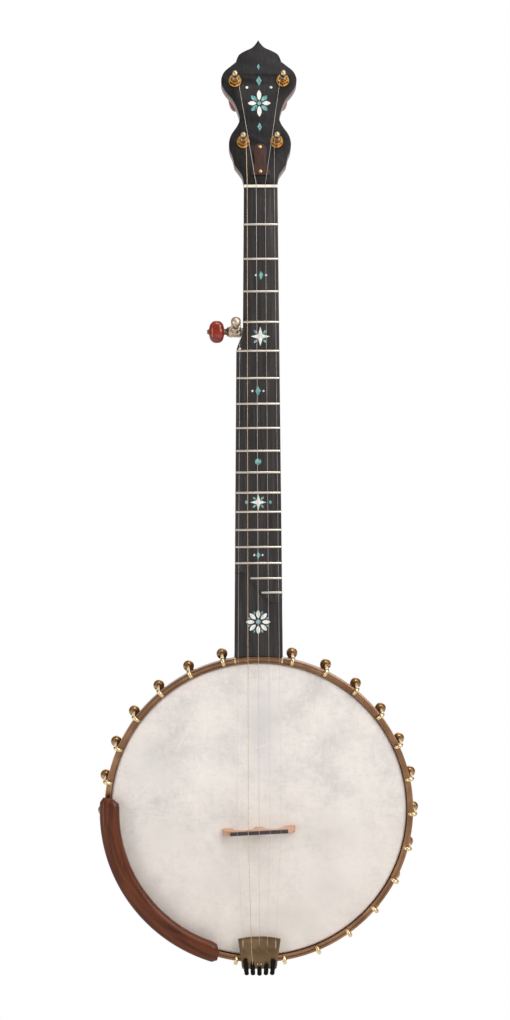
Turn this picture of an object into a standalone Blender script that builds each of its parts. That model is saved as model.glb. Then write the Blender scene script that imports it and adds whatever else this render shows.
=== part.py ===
"""Open-back five-string banjo, built piece by piece at its real size.

Units are metres and +Z runs up the neck towards the headstock. The front of the banjo
faces -Y. The origin is the fingerboard edge of the nut, on the centre line of the pot.
"""
import math

import bpy
import bmesh
from mathutils import Matrix, Vector

# Air left between pieces that seat on each other
GAP = 0.0003

# Strings: string 1 is the treble string on the +X side, string 5 is the short drone
SCALE_LENGTH = 0.667
STRING_DIAMETERS = (0.00025, 0.00030, 0.00041, 0.00058, 0.00025)
STRING_RISE_AT_BRIDGE = 0.0070
STRING_RISE_AT_NUT = 0.0012
STRING_EDGE_MARGIN = 0.0034
BRIDGE_STRING_SPACING = 0.0114
TAIL_STRING_SPACING = 0.00855
SLEEVE_DIAMETER = 0.0046

# Fingerboard, frets and nut
NECK_TILT = math.radians(1.5)
BOARD_THICKNESS = 0.0060
FRET_COUNT = 17
FRET_WIDTH = 0.0023
FRET_HEIGHT = 0.0010
FRET_END_INSET = 0.0003
NUT_BASS_X = -0.0140
NUT_TREBLE_X = 0.0207
NUT_THICKNESS = 0.0034
NUT_PROUD = 0.0018
HEEL_HALF_WIDTH = 0.0251
FIFTH_FRET = SCALE_LENGTH * (1 - 2 ** (-5 / 12))
FIFTH_STEP = 0.0062
FIFTH_STEP_START = FIFTH_FRET - 0.0223
FIFTH_STEP_END = FIFTH_STEP_START + 0.0240
PIP_DISTANCE = FIFTH_FRET - 0.0021
PIP_RADIUS = 0.0014
PIP_HEIGHT = 0.0022
SCOOP_DEPTH = 0.0030
SCOOP_PAST_FRET = 0.0087
SCOOP_START = SCALE_LENGTH * (1 - 2 ** (-15 / 12)) + SCOOP_PAST_FRET
SCOOP_LENGTH = 0.0325
SCOOP_BASS_X = -0.020
SCOOP_TREBLE_X = 0.017

# Neck shaft and heel, measured below the underside of the fingerboard
SHAFT_DEPTH_AT_NUT = 0.0145
SHAFT_DEPTH_AT_HEEL = 0.0190
HEEL_DEPTH = 0.0600
HEEL_SWEEP = 0.0620
HEEL_PAST_BOARD = 0.0029
HEEL_OF_HEADSTOCK = 0.0085
SHAFT_RING_STEPS = 10

# Headstock: half widths and distances from its lower end, tip first
HEADSTOCK_PITCH = math.radians(16.0)
HEADSTOCK_DROP = 0.0030
HEADSTOCK_START = 0.0015
HEADSTOCK_THICKNESS = 0.0125
VENEER_THICKNESS = 0.0025
HEADSTOCK_CROWN = ((0.0, 0.1582), (0.0030, 0.1536), (0.0070, 0.1496), (0.0150, 0.1457),
                   (0.0202, 0.1420), (0.0227, 0.1370), (0.0235, 0.1340))
HEADSTOCK_LOBES = ((0.0235, 0.1340), (0.0284, 0.1299), (0.0355, 0.1236), (0.0389, 0.1163),
                   (0.0387, 0.1096), (0.0350, 0.1020), (0.0276, 0.0925), (0.0228, 0.0815),
                   (0.0206, 0.0712), (0.0232, 0.0632), (0.0294, 0.0537), (0.0320, 0.0450),
                   (0.0313, 0.0366), (0.0286, 0.0297), (0.0266, 0.0206))
HEADSTOCK_EARS = ((0.0266, 0.0206), (0.0227, 0.0150), (0.0190, 0.0090), (0.01735, 0.0))
HEADSTOCK_LEAN = math.radians(0.5)
OUTLINE_STEPS = 2

# Truss rod cover
COVER_THICKNESS = 0.0018
COVER_BELL = ((0.0, 0.0430), (0.0052, 0.0411), (0.0072, 0.0358), (0.0062, 0.0270), (0.0064, 0.0205),
              (0.0098, 0.0122))
COVER_FOOT_Y = 0.0085

# Planetary tuners of strings 1 to 4
LOWER_TUNER_X = 0.01725
LOWER_TUNER_Y = 0.0454
UPPER_TUNER_X = 0.02485
UPPER_TUNER_Y = 0.1130
TUNER_BARREL_RADIUS = 0.0047
TUNER_BORE_RADIUS = 0.0033
TUNER_NUT_RADIUS = 0.0064
TUNER_NUT_HEIGHT = 0.0060
TUNER_CASE_RADIUS = 0.0082
TUNER_CASE_LENGTH = 0.0260
POST_RADIUS = 0.0030
POST_WAIST_RADIUS = 0.0023
POST_WAIST_LENGTH = 0.0032
POST_HEIGHT = 0.0225
POST_STRING_HEIGHT = 0.0115
POST_HOLE_RADIUS = 0.0007
KNOB_WIDTH = 0.0232
KNOB_THICKNESS = 0.0130
KNOB_LENGTH = 0.0162
KNOB_NECK_LENGTH = 0.0044
KNOB_NECK_RADIUS = 0.0040
KNOB_SCREW_RADIUS = 0.0028
KNOB_SCREW_HEIGHT = 0.0018
KNOB_SQUARENESS = 0.85
KNOB_TURNS = (math.radians(-24.0), math.radians(6.0), math.radians(-8.0), math.radians(26.0))

# Fifth string tuner: the knob turns a worm across the neck, the post leans to the headstock
FIFTH_Y = 0.0198 - FIFTH_FRET
FIFTH_Z = -0.0105
FIFTH_POST_X = -0.0226
FIFTH_POST_LEAN = math.radians(35.0)
FIFTH_BARREL_RADIUS = 0.0058
FIFTH_BARREL_INNER_X = -0.0174
FIFTH_BARREL_OUTER_X = -0.0300
FIFTH_SHANK_RADIUS = 0.0042
FIFTH_SHANK_INNER_X = -0.0060
FIFTH_BOSS_RADIUS = 0.0052
FIFTH_BOSS_TOP = 0.0098
FIFTH_BORE_RADIUS = 0.0029
FIFTH_BORE_FLOOR = -0.0030
FIFTH_POST_RADIUS = 0.0026
FIFTH_POST_HEAD_RADIUS = 0.0051
FIFTH_POST_TOP = 0.0225
FIFTH_STRING_HEIGHT = 0.0125

# Pot: radii from its centre, heights forward of the playing face of the head
RIM_RADIUS = 0.1524
RIM_WALL = 0.0159
RIM_DEPTH = 0.0640
RIM_TOP_BELOW_HEAD = 0.0075
RIM_CHAMFER = 0.0020
RING_SEGMENTS = 40
TONE_CROWN_RADIUS = 0.0030
TONE_CROWN_INSET = 0.0034
TONE_FLANGE = 0.0016
TONE_SKIRT = 0.0060
TONE_SKIRT_WALL = 0.0012
HEAD_SKIN = 0.0005
HEAD_COLLAR_CLEARANCE = 0.0004
FLESH_HOOP_WIDTH = 0.0034
FLESH_HOOP_HEIGHT = 0.0035
FLESH_HOOP_TOP = -0.0080
HOOP_CLEARANCE = 0.0016
HOOP_WALL = 0.0070
HOOP_INNER_LIP = 0.0012
HOOP_OUTER_LIP = 0.0024
HOOP_INNER_RADIUS = RIM_RADIUS + HOOP_CLEARANCE
HOOP_OUTER_RADIUS = HOOP_INNER_RADIUS + HOOP_WALL
HOOP_FRONT = 0.0030
HOOP_BACK = -0.0118
HOOP_GROOVE_INNER = HOOP_INNER_RADIUS + HOOP_INNER_LIP
HOOP_GROOVE_OUTER = HOOP_OUTER_RADIUS - HOOP_OUTER_LIP
HOOP_GROOVE_DEPTH = 0.0018

# Tension brackets: ball shoe, hook and nut
BRACKET_COUNT = 26
BRACKET_FIRST_ANGLE = math.radians(13.0)
BRACKET_LAST_ANGLE = math.radians(170.9)
BRACKET_RING_TURN = math.radians(-0.36)
BALL_RADIUS = 0.0059
BALL_STANDOFF = 0.0027
BALL_ORBIT = HOOP_OUTER_RADIUS + BALL_STANDOFF
BALL_DEPTH = 0.0385
BALL_TURN = math.radians(9.0)
HOOK_RADIUS = 0.0016
HOOK_TIP_RADIUS = 0.0013
HOOK_NUT_RADIUS = 0.0040
HOOK_NUT_LENGTH = 0.0110
SHOE_STEM_RADIUS = 0.0042

# Coordinator rod and tail hanger
ROD_RADIUS = 0.0048
ROD_DEPTH = 0.0400
ROD_STUD_RADIUS = 0.0032
ROD_STUD_IN_HEEL = 0.0220
ROD_NUT_RADIUS = 0.0085
ROD_NUT_LENGTH = 0.0060
STUD_HOLE_RADIUS = 0.0036
HANGER_WIDTH = 0.0120
HANGER_THICKNESS = 0.0020
HANGER_FOOT = 0.0520
HANGER_JOG_START = 0.0290
HANGER_JOG_END = 0.0165
HANGER_PIN_RADIUS = 0.0010
HANGER_PIN_X = 0.0019
HANGER_PIN_ORBIT = HOOP_OUTER_RADIUS + 0.0002

# Tailpiece
TAIL_OVERHANG = 0.0080
TAIL_LENGTH = 0.0365
TAIL_REAR = HOOP_OUTER_RADIUS + TAIL_OVERHANG
TAIL_FRONT = TAIL_REAR - TAIL_LENGTH
TAIL_FRONT_HALF_WIDTH = 0.0222
TAIL_REAR_HALF_WIDTH = 0.0160
TAIL_FRONT_BOW = 0.0026
TAIL_WING = 0.0022
TAIL_WING_LENGTH = 0.0040
TAIL_THICKNESS = 0.0016
TAIL_UNDERSIDE = 0.0077
TAIL_SLOT_START = TAIL_FRONT + 0.0039
TAIL_SLOT_END = TAIL_SLOT_START + 0.0096
TAIL_SLOT_WIDTH = 0.0016
SLEEVE_FRONTS = [TAIL_REAR - ahead for ahead in (0.0130, 0.0081, 0.0052, 0.0081, 0.0130)]
SLEEVE_REARS = [TAIL_REAR + behind for behind in (0.0029, 0.0030, 0.0035, 0.0030, 0.0029)]
SLEEVE_FRONT_XS = (0.0150, 0.0072, 0.0, -0.0072, -0.0150)
SLEEVE_REAR_XS = (0.0131, 0.0067, 0.0, -0.0067, -0.0131)

# Bridge
BRIDGE_BELOW_CENTRE = 0.0215
BRIDGE_HEIGHT = 0.0160
BRIDGE_SKEW = math.radians(2.7)
BRIDGE_BASE_HALF = 0.0380
BRIDGE_TOP_HALF = 0.0300
BRIDGE_FOOT = 0.0108
BRIDGE_CENTRE_FOOT_HALF = 0.0042
BRIDGE_ARCH = 0.0090
BRIDGE_CAP = 0.0032
BRIDGE_BASE_THICKNESS = 0.0072
BRIDGE_TOP_THICKNESS = 0.0034
BRIDGE_NOTCH_DEPTH = 0.0005
BRIDGE_NOTCH_WIDTH = 0.0012

# Armrest over the hoop on the bass side
ARMREST_OVERHANG = 0.0045
ARMREST_WIDTH = 0.0205
ARMREST_OUTER_RADIUS = HOOP_OUTER_RADIUS + ARMREST_OVERHANG
ARMREST_INNER_RADIUS = ARMREST_OUTER_RADIUS - ARMREST_WIDTH
ARMREST_START = math.radians(-84.4)
ARMREST_END = math.radians(-164.2)
ARMREST_INNER_FILLET = 0.0085
ARMREST_OUTER_FILLET = 0.0030
ARMREST_LIFT = 0.0010
ARMREST_THICKNESS = 0.0085
ARMREST_EDGE_ROUND = 0.0032
ARMREST_STEPS = 14
ARMREST_CLAMP_SPANS = (7, 11)
CLAMP_HALF_WIDTH = 0.0045
CLAMP_WALL = 0.0020
CLAMP_JAW = 0.0024

BRIDGE_STRING_XS = [(2 - i) * BRIDGE_STRING_SPACING for i in range(5)]
TAIL_STRING_XS = [(2 - i) * TAIL_STRING_SPACING for i in range(5)]
NUT_CENTRE_X = (NUT_BASS_X + NUT_TREBLE_X) / 2
HEADSTOCK_Y = NUT_THICKNESS + HEADSTOCK_START

# Places of the three frames that the pieces are modelled in
BRIDGE_ALONG_BOARD = -SCALE_LENGTH
NECK_FRAME = Matrix.Rotation(math.pi / 2 - NECK_TILT, 4, "X")
HEAD_FRAME = (NECK_FRAME @ Matrix.Translation((NUT_CENTRE_X, HEADSTOCK_Y, -HEADSTOCK_DROP))
              @ Matrix.Rotation(-HEADSTOCK_PITCH, 4, "X") @ Matrix.Rotation(HEADSTOCK_LEAN, 4, "Z"))
STRINGS_AT_BRIDGE = NECK_FRAME @ Vector((0, BRIDGE_ALONG_BOARD, STRING_RISE_AT_BRIDGE))
POT_CENTRE = Vector((0, STRINGS_AT_BRIDGE.y + BRIDGE_HEIGHT, STRINGS_AT_BRIDGE.z + BRIDGE_BELOW_CENTRE))
POT_FRAME = Matrix.Translation(POT_CENTRE) @ Matrix.Rotation(math.pi / 2, 4, "X")

for leftover in list(bpy.data.objects):
    bpy.data.objects.remove(leftover, do_unlink=True)

banjo = bpy.data.collections.new("open_back_banjo")
cutters = bpy.data.collections.new("cutters")
bpy.context.scene.collection.children.link(banjo)
bpy.context.scene.collection.children.link(cutters)


def make_material(name, colour, roughness, metallic):
    material = bpy.data.materials.new(name)
    material.use_nodes = True
    shader = material.node_tree.nodes["Principled BSDF"]
    shader.inputs["Base Color"].default_value = (*colour, 1.0)
    shader.inputs["Roughness"].default_value = roughness
    shader.inputs["Metallic"].default_value = metallic
    return material


WALNUT = make_material("walnut", (0.13, 0.06, 0.03), 0.45, 0.0)
ARMREST_WOOD = make_material("dark_red_walnut", (0.09, 0.03, 0.015), 0.35, 0.0)
EBONY = make_material("ebony", (0.04, 0.035, 0.035), 0.45, 0.0)
ROSEWOOD = make_material("rosewood", (0.08, 0.035, 0.025), 0.4, 0.0)
MAPLE = make_material("maple", (0.62, 0.40, 0.24), 0.5, 0.0)
BONE = make_material("bone", (0.80, 0.74, 0.64), 0.4, 0.0)
HEAD_SKIN_WHITE = make_material("head_skin", (0.78, 0.73, 0.68), 0.6, 0.0)
AGED_BRONZE = make_material("aged_bronze", (0.30, 0.17, 0.09), 0.35, 1.0)
AGED_BRASS = make_material("aged_brass", (0.50, 0.30, 0.12), 0.28, 1.0)
NICKEL = make_material("nickel", (0.60, 0.52, 0.44), 0.25, 1.0)
STRING_STEEL = make_material("string_steel", (0.62, 0.60, 0.57), 0.25, 1.0)
AMBER = make_material("amber_knob", (0.32, 0.03, 0.01), 0.2, 0.0)


def adopt(obj, name, material, frame):
    """Name a new object, put it in the banjo and place it in one of the frames."""
    obj.name = name
    obj.data.name = name
    for collection in list(obj.users_collection):
        collection.objects.unlink(obj)
    banjo.objects.link(obj)
    obj.data.materials.clear()
    obj.data.materials.append(material)
    obj.matrix_world = frame
    return obj


def from_bmesh(bm, name, material, frame):
    mesh = bpy.data.meshes.new(name)
    bm.to_mesh(mesh)
    bm.free()
    return adopt(bpy.data.objects.new(name, mesh), name, material, frame)


def smooth(obj, angle=40.0):
    obj.data.shade_smooth()
    obj.data.set_sharp_from_angle(angle=math.radians(angle))
    return obj


def turned(name, profile, material, frame, segments=RING_SEGMENTS, closed=False):
    """Turn a profile of (radius, height) round the frame's Z axis, top to bottom outside."""
    bm = bmesh.new()
    verts = [bm.verts.new((radius, 0.0, height)) for radius, height in profile]
    for first, second in zip(verts, verts[1:]):
        bm.edges.new((first, second))
    if closed:
        bm.edges.new((verts[-1], verts[0]))
    obj = from_bmesh(bm, name, material, frame)
    screw = obj.modifiers.new("turn", "SCREW")
    screw.axis = "Z"
    screw.steps = segments
    screw.render_steps = segments
    screw.use_merge_vertices = True
    screw.merge_threshold = 0.00001
    screw.use_smooth_shade = True
    return obj


def cylinder(name, radius, low, high, material, frame, sides=16, top_radius=None):
    """A straight or tapered round bar along the frame's Z axis."""
    bm = bmesh.new()
    middle = Matrix.Translation((0, 0, (low + high) / 2))
    bmesh.ops.create_cone(bm, cap_ends=True, segments=sides, radius1=radius,
                          radius2=radius if top_radius is None else top_radius,
                          depth=high - low, matrix=middle)
    return smooth(from_bmesh(bm, name, material, frame))


def box(name, low, high, material, frame):
    bm = bmesh.new()
    size = Vector(high) - Vector(low)
    middle = (Vector(high) + Vector(low)) / 2
    bmesh.ops.create_cube(bm, size=1.0, matrix=Matrix.Translation(middle) @ Matrix.Diagonal((*size, 1.0)))
    return from_bmesh(bm, name, material, frame)


def as_mesh(curve_object):
    """Swap a curve object for a welded mesh object in the same place."""
    bpy.context.view_layer.update()
    evaluated = curve_object.evaluated_get(bpy.context.evaluated_depsgraph_get())
    mesh = bpy.data.meshes.new_from_object(evaluated)
    bm = bmesh.new()
    bm.from_mesh(mesh)
    bmesh.ops.remove_doubles(bm, verts=bm.verts, dist=0.000001)
    bm.to_mesh(mesh)
    bm.free()
    name, place = curve_object.name, curve_object.matrix_world.copy()
    material = curve_object.data.materials[0]
    bpy.data.objects.remove(curve_object, do_unlink=True)
    return adopt(bpy.data.objects.new(name, mesh), name, material, place)


def plate(name, outlines, low, high, material, frame):
    """A flat plate between two heights. Outlines after the first are its holes."""
    curve = bpy.data.curves.new(name, "CURVE")
    curve.dimensions = "2D"
    curve.fill_mode = "BOTH"
    curve.extrude = (high - low) / 2
    for outline in outlines:
        spline = curve.splines.new("POLY")
        spline.points.add(len(outline) - 1)
        for point, (x, y) in zip(spline.points, outline):
            point.co = (x, y, 0.0, 1.0)
        spline.use_cyclic_u = True
    lifted = frame @ Matrix.Translation((0, 0, (low + high) / 2))
    return as_mesh(adopt(bpy.data.objects.new(name, curve), name, material, lifted))


def wire(name, points, radii, material, frame, resolution=1):
    """A round wire through its points, with a radius at each of them."""
    curve = bpy.data.curves.new(name, "CURVE")
    curve.dimensions = "3D"
    curve.bevel_depth = 1.0
    curve.bevel_resolution = resolution
    curve.use_fill_caps = True
    spline = curve.splines.new("POLY")
    spline.points.add(len(points) - 1)
    for point, place, radius in zip(spline.points, points, radii):
        point.co = (*place, 1.0)
        point.radius = radius
    return adopt(bpy.data.objects.new(name, curve), name, material, frame)


def hide_as_cutter(obj):
    obj.hide_render = True
    obj.display_type = "WIRE"
    for collection in list(obj.users_collection):
        collection.objects.unlink(obj)
    cutters.objects.link(obj)


def boolean(target, other, operation):
    modifier = target.modifiers.new(other.name, "BOOLEAN")
    modifier.operation = operation
    modifier.solver = "EXACT"
    modifier.object = other
    hide_as_cutter(other)


def cut(target, *others):
    for other in others:
        boolean(target, other, "DIFFERENCE")


def join(target, *others):
    for other in others:
        boolean(target, other, "UNION")


def finished_mesh(obj, name):
    """The evaluated mesh of a pattern object, for copies to share."""
    bpy.context.view_layer.update()
    evaluated = obj.evaluated_get(bpy.context.evaluated_depsgraph_get())
    mesh = bpy.data.meshes.new_from_object(evaluated)
    mesh.name = name
    return mesh


def drop(*objects):
    for obj in objects:
        bpy.data.objects.remove(obj, do_unlink=True)


def smooth_step(share):
    share = min(1.0, max(0.0, share))
    return share * share * (3 - 2 * share)


def arc(centre, radius, start, end, steps):
    """Points on an arc in a plane, angles in degrees, both ends included."""
    angles = [math.radians(start + (end - start) * i / steps) for i in range(steps + 1)]
    return [(centre[0] + radius * math.cos(a), centre[1] + radius * math.sin(a)) for a in angles]


def rounded(points, fillets, steps):
    """A closed outline with the corners named in fillets rounded to that reach."""
    outline = []
    for index, corner in enumerate(points):
        reach = fillets.get(index, 0.0)
        if not reach:
            outline.append(corner)
            continue
        corner = Vector(corner)
        before = Vector(points[index - 1]) - corner
        after = Vector(points[(index + 1) % len(points)]) - corner
        first, last = corner + before.normalized() * reach, corner + after.normalized() * reach
        for step in range(steps + 1):
            t = step / steps
            outline.append(tuple(first * (1 - t) ** 2 + corner * 2 * t * (1 - t) + last * t ** 2))
    return outline


def through(points, steps):
    """A smooth plane curve through hand-placed points."""
    ends = [2 * Vector(points[0]) - Vector(points[1])] + [Vector(p) for p in points]
    ends.append(2 * Vector(points[-1]) - Vector(points[-2]))
    curve = []
    for before, start, end, after in zip(ends, ends[1:], ends[2:], ends[3:]):
        for step in range(steps):
            t = step / steps
            curve.append(0.5 * (2 * start + (end - before) * t
                                + (2 * before - 5 * start + 4 * end - after) * t ** 2
                                + (3 * start - before - 3 * end + after) * t ** 3))
    curve.append(Vector(points[-1]))
    return [tuple(point) for point in curve]


# Fingerboard edges, used by the board, the neck, the frets and the nut

def treble_edge(distance):
    return NUT_TREBLE_X + (HEEL_HALF_WIDTH - NUT_TREBLE_X) * distance / (SCALE_LENGTH * 0.72)


def bass_edge(distance):
    """The bass side steps out beside the fifth string's tuner."""
    wide = -treble_edge(distance)
    upper = NUT_BASS_X - (treble_edge(distance) - NUT_TREBLE_X)
    step = smooth_step((distance - FIFTH_STEP_START) / (FIFTH_STEP_END - FIFTH_STEP_START))
    return upper + (wide - upper) * step


def fret_distance(fret):
    return SCALE_LENGTH * (1 - 2 ** (-fret / 12))


# Where the neck meets the pot, along the fingerboard from the nut
POT_IN_NECK = NECK_FRAME.inverted() @ POT_CENTRE
BOARD_END = -POT_IN_NECK.y - HOOP_OUTER_RADIUS
HEEL_FOOT = BOARD_END + HEEL_PAST_BOARD
HEEL_START = HEEL_FOOT - HEEL_SWEEP
CUTTER_REACH = 0.05
NECK_TOP = -BOARD_THICKNESS - GAP


def inside_flat(radius, half_width):
    """How far from the centre a flat face can stand inside a faceted ring."""
    return math.sqrt((radius * math.cos(math.pi / RING_SEGMENTS)) ** 2 - half_width ** 2) - GAP


def pot_cylinder(name, radius, low, high):
    """A cutter on the pot's axis, with the same facets as the rings it clears."""
    return cylinder(name, radius, low, high, EBONY, POT_FRAME, sides=RING_SEGMENTS)


def make_rim():
    top = -RIM_TOP_BELOW_HEAD
    bottom = top - RIM_DEPTH
    inner = RIM_RADIUS - RIM_WALL
    profile = [(RIM_RADIUS, top), (RIM_RADIUS, bottom + RIM_CHAMFER), (RIM_RADIUS - RIM_CHAMFER, bottom),
               (inner + RIM_CHAMFER, bottom), (inner, bottom + RIM_CHAMFER), (inner, top)]
    rim = turned("rim", profile, WALNUT, POT_FRAME, closed=True)
    through_rod = POT_FRAME @ Matrix.Translation((0, 0, -ROD_DEPTH)) @ Matrix.Rotation(math.pi / 2, 4, "X")
    cut(rim, cylinder("rod_holes", STUD_HOLE_RADIUS, -RIM_RADIUS - RIM_WALL, RIM_RADIUS + RIM_WALL,
                      WALNUT, through_rod))


def make_tone_ring():
    """A rolled brass ring with a crown under the head and a skirt inside the rim."""
    base = -RIM_TOP_BELOW_HEAD + GAP
    crown_top = -HEAD_SKIN - GAP
    crown_orbit = RIM_RADIUS - TONE_CROWN_INSET
    crown_centre = (crown_orbit, crown_top - TONE_CROWN_RADIUS)
    skirt = RIM_RADIUS - RIM_WALL - GAP
    profile = arc(crown_centre, TONE_CROWN_RADIUS, 180, 0, 3)
    profile += [(crown_orbit + TONE_CROWN_RADIUS, base), (skirt, base), (skirt, base - TONE_SKIRT),
                (skirt - TONE_SKIRT_WALL, base - TONE_SKIRT), (skirt - TONE_SKIRT_WALL, base + TONE_FLANGE),
                (crown_orbit - TONE_CROWN_RADIUS, base + TONE_FLANGE)]
    turned("tone_ring", profile, AGED_BRASS, POT_FRAME, closed=True)


def make_head():
    """The head: a flat skin, a collar down the outside of the rim and its flesh hoop."""
    crown_orbit = RIM_RADIUS - TONE_CROWN_INSET
    collar_in = RIM_RADIUS + HEAD_COLLAR_CLEARANCE
    collar_out = collar_in + HEAD_SKIN
    bend_height = TONE_CROWN_RADIUS + GAP
    bend_centre = -HEAD_SKIN - bend_height
    flesh_out = collar_in + FLESH_HOOP_WIDTH
    flesh_low = FLESH_HOOP_TOP - FLESH_HOOP_HEIGHT
    outer_bend = [(crown_orbit + (collar_out - crown_orbit) * math.sin(a),
                   bend_centre + (bend_height + HEAD_SKIN) * math.cos(a))
                  for a in (math.radians(t) for t in (0, 45, 90))]
    inner_bend = [(crown_orbit + (collar_in - crown_orbit) * math.sin(a),
                   bend_centre + bend_height * math.cos(a))
                  for a in (math.radians(t) for t in (90, 45, 0))]
    profile = [(0.0, 0.0)] + outer_bend + [(collar_out, FLESH_HOOP_TOP), (flesh_out, FLESH_HOOP_TOP),
                                           (flesh_out, flesh_low), (collar_in, flesh_low)]
    profile += inner_bend + [(0.0, -HEAD_SKIN)]
    turned("head", profile, HEAD_SKIN_WHITE, POT_FRAME)


def make_tension_hoop():
    """The grooved hoop: hooks sit in its front groove, its rabbet pulls the flesh hoop back."""
    rabbet_radius = RIM_RADIUS + HEAD_COLLAR_CLEARANCE + FLESH_HOOP_WIDTH + GAP
    rabbet_height = FLESH_HOOP_TOP + GAP
    groove_floor = HOOP_FRONT - HOOP_GROOVE_DEPTH
    profile = [(HOOP_GROOVE_OUTER, HOOP_FRONT), (HOOP_OUTER_RADIUS, HOOP_FRONT),
               (HOOP_OUTER_RADIUS, HOOP_BACK), (rabbet_radius, HOOP_BACK), (rabbet_radius, rabbet_height),
               (HOOP_INNER_RADIUS, rabbet_height), (HOOP_INNER_RADIUS, HOOP_FRONT),
               (HOOP_GROOVE_INNER, HOOP_FRONT), (HOOP_GROOVE_INNER, groove_floor),
               (HOOP_GROOVE_OUTER, groove_floor)]
    turned("tension_hoop", profile, AGED_BRONZE, POT_FRAME, closed=True)


HOOK_TIP_ORBIT = (HOOP_GROOVE_INNER + HOOP_GROOVE_OUTER) / 2
HOOK_BEND_RADIUS = (BALL_ORBIT - HOOK_TIP_ORBIT) / 2
HOOK_TIP_END = HOOP_FRONT - HOOP_GROOVE_DEPTH + GAP
HOOK_BEND_START = HOOK_TIP_END + 0.0018
HOOK_APEX = HOOK_BEND_START + HOOK_BEND_RADIUS + HOOK_RADIUS


def bracket_angles():
    """Clockwise from the neck, the same number on each side."""
    side = BRACKET_COUNT // 2
    pitch = (BRACKET_LAST_ANGLE - BRACKET_FIRST_ANGLE) / (side - 1)
    treble = [BRACKET_FIRST_ANGLE + pitch * i for i in range(side)]
    return [angle + BRACKET_RING_TURN for angle in treble + [-angle for angle in reversed(treble)]]


def make_brackets():
    """Each is a ball shoe on the rim, the hook that passes through it and the hook's closed nut."""
    bend_orbit = (BALL_ORBIT + HOOK_TIP_ORBIT) / 2
    bend = arc((bend_orbit, HOOK_BEND_START), HOOK_BEND_RADIUS, 0, 180, 3)
    path = [(0.0, BALL_ORBIT, BALL_RADIUS / 5 - BALL_DEPTH)]
    path += [(0.0, orbit, height) for orbit, height in bend]
    path.append((0.0, HOOK_TIP_ORBIT, HOOK_TIP_END))
    radii = [HOOK_RADIUS] * (len(path) - 3) + [HOOK_TIP_RADIUS] * 3
    hook = as_mesh(wire("hook_pattern", path, radii, AGED_BRASS, POT_FRAME))
    ball_mesh = bmesh.new()
    bmesh.ops.create_uvsphere(ball_mesh, u_segments=8, v_segments=4, radius=BALL_RADIUS)
    ball = from_bmesh(ball_mesh, "ball_pattern", AGED_BRASS,
                      POT_FRAME @ Matrix.Translation((0, BALL_ORBIT, -BALL_DEPTH))
                      @ Matrix.Rotation(BALL_TURN, 4, "Z"))
    nut_low = -BALL_DEPTH - BALL_RADIUS - HOOK_NUT_LENGTH
    nut = cylinder("hook_nut_pattern", HOOK_NUT_RADIUS * 0.8, nut_low, -BALL_DEPTH - BALL_RADIUS / 2,
                   AGED_BRASS, POT_FRAME @ Matrix.Translation((0, BALL_ORBIT, 0)), sides=6,
                   top_radius=HOOK_NUT_RADIUS)
    stem_frame = (POT_FRAME @ Matrix.Translation((0, 0, -BALL_DEPTH))
                  @ Matrix.Rotation(-math.pi / 2, 4, "X"))
    stem = cylinder("stem_pattern", SHOE_STEM_RADIUS, RIM_RADIUS + GAP, BALL_ORBIT - BALL_RADIUS / 2,
                    AGED_BRASS, stem_frame, sides=6, top_radius=SHOE_STEM_RADIUS * 0.8)
    join(hook, ball, nut, stem)
    shared = finished_mesh(hook, "bracket")
    drop(hook, ball, nut, stem)
    for number, angle in enumerate(bracket_angles(), start=1):
        bracket = bpy.data.objects.new("bracket", shared)
        banjo.objects.link(bracket)
        bracket.name = f"bracket_{number:02d}"
        bracket.matrix_world = POT_FRAME @ Matrix.Rotation(-angle, 4, "Z")
    smooth(bracket)


def make_coordinator_rod():
    """A rod across the pot. One stud screws into the heel, the other holds the tail hanger."""
    inner = inside_flat(RIM_RADIUS - RIM_WALL, ROD_NUT_RADIUS)
    rod_frame = POT_FRAME @ Matrix.Translation((0, 0, -ROD_DEPTH)) @ Matrix.Rotation(-math.pi / 2, 4, "X")
    tail_nut_face = RIM_RADIUS + HANGER_THICKNESS + 2 * GAP
    low = -tail_nut_face - ROD_NUT_LENGTH - 0.0015
    high = RIM_RADIUS + ROD_STUD_IN_HEEL
    profile = [(0.0, high), (ROD_STUD_RADIUS, high), (ROD_STUD_RADIUS, inner), (ROD_RADIUS, inner),
               (ROD_RADIUS, -inner), (ROD_STUD_RADIUS, -inner), (ROD_STUD_RADIUS, low), (0.0, low)]
    rod = turned("coordinator_rod", profile, NICKEL, rod_frame, segments=12)
    join(rod,
         cylinder("rod_neck_nut", ROD_NUT_RADIUS, inner - ROD_NUT_LENGTH, inner, NICKEL, rod_frame, sides=6),
         cylinder("rod_tail_nut", ROD_NUT_RADIUS, -inner, -inner + ROD_NUT_LENGTH, NICKEL, rod_frame, sides=6),
         cylinder("hanger_nut", ROD_NUT_RADIUS * 0.75, -tail_nut_face - ROD_NUT_LENGTH, -tail_nut_face,
                  NICKEL, rod_frame, sides=6))


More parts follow.
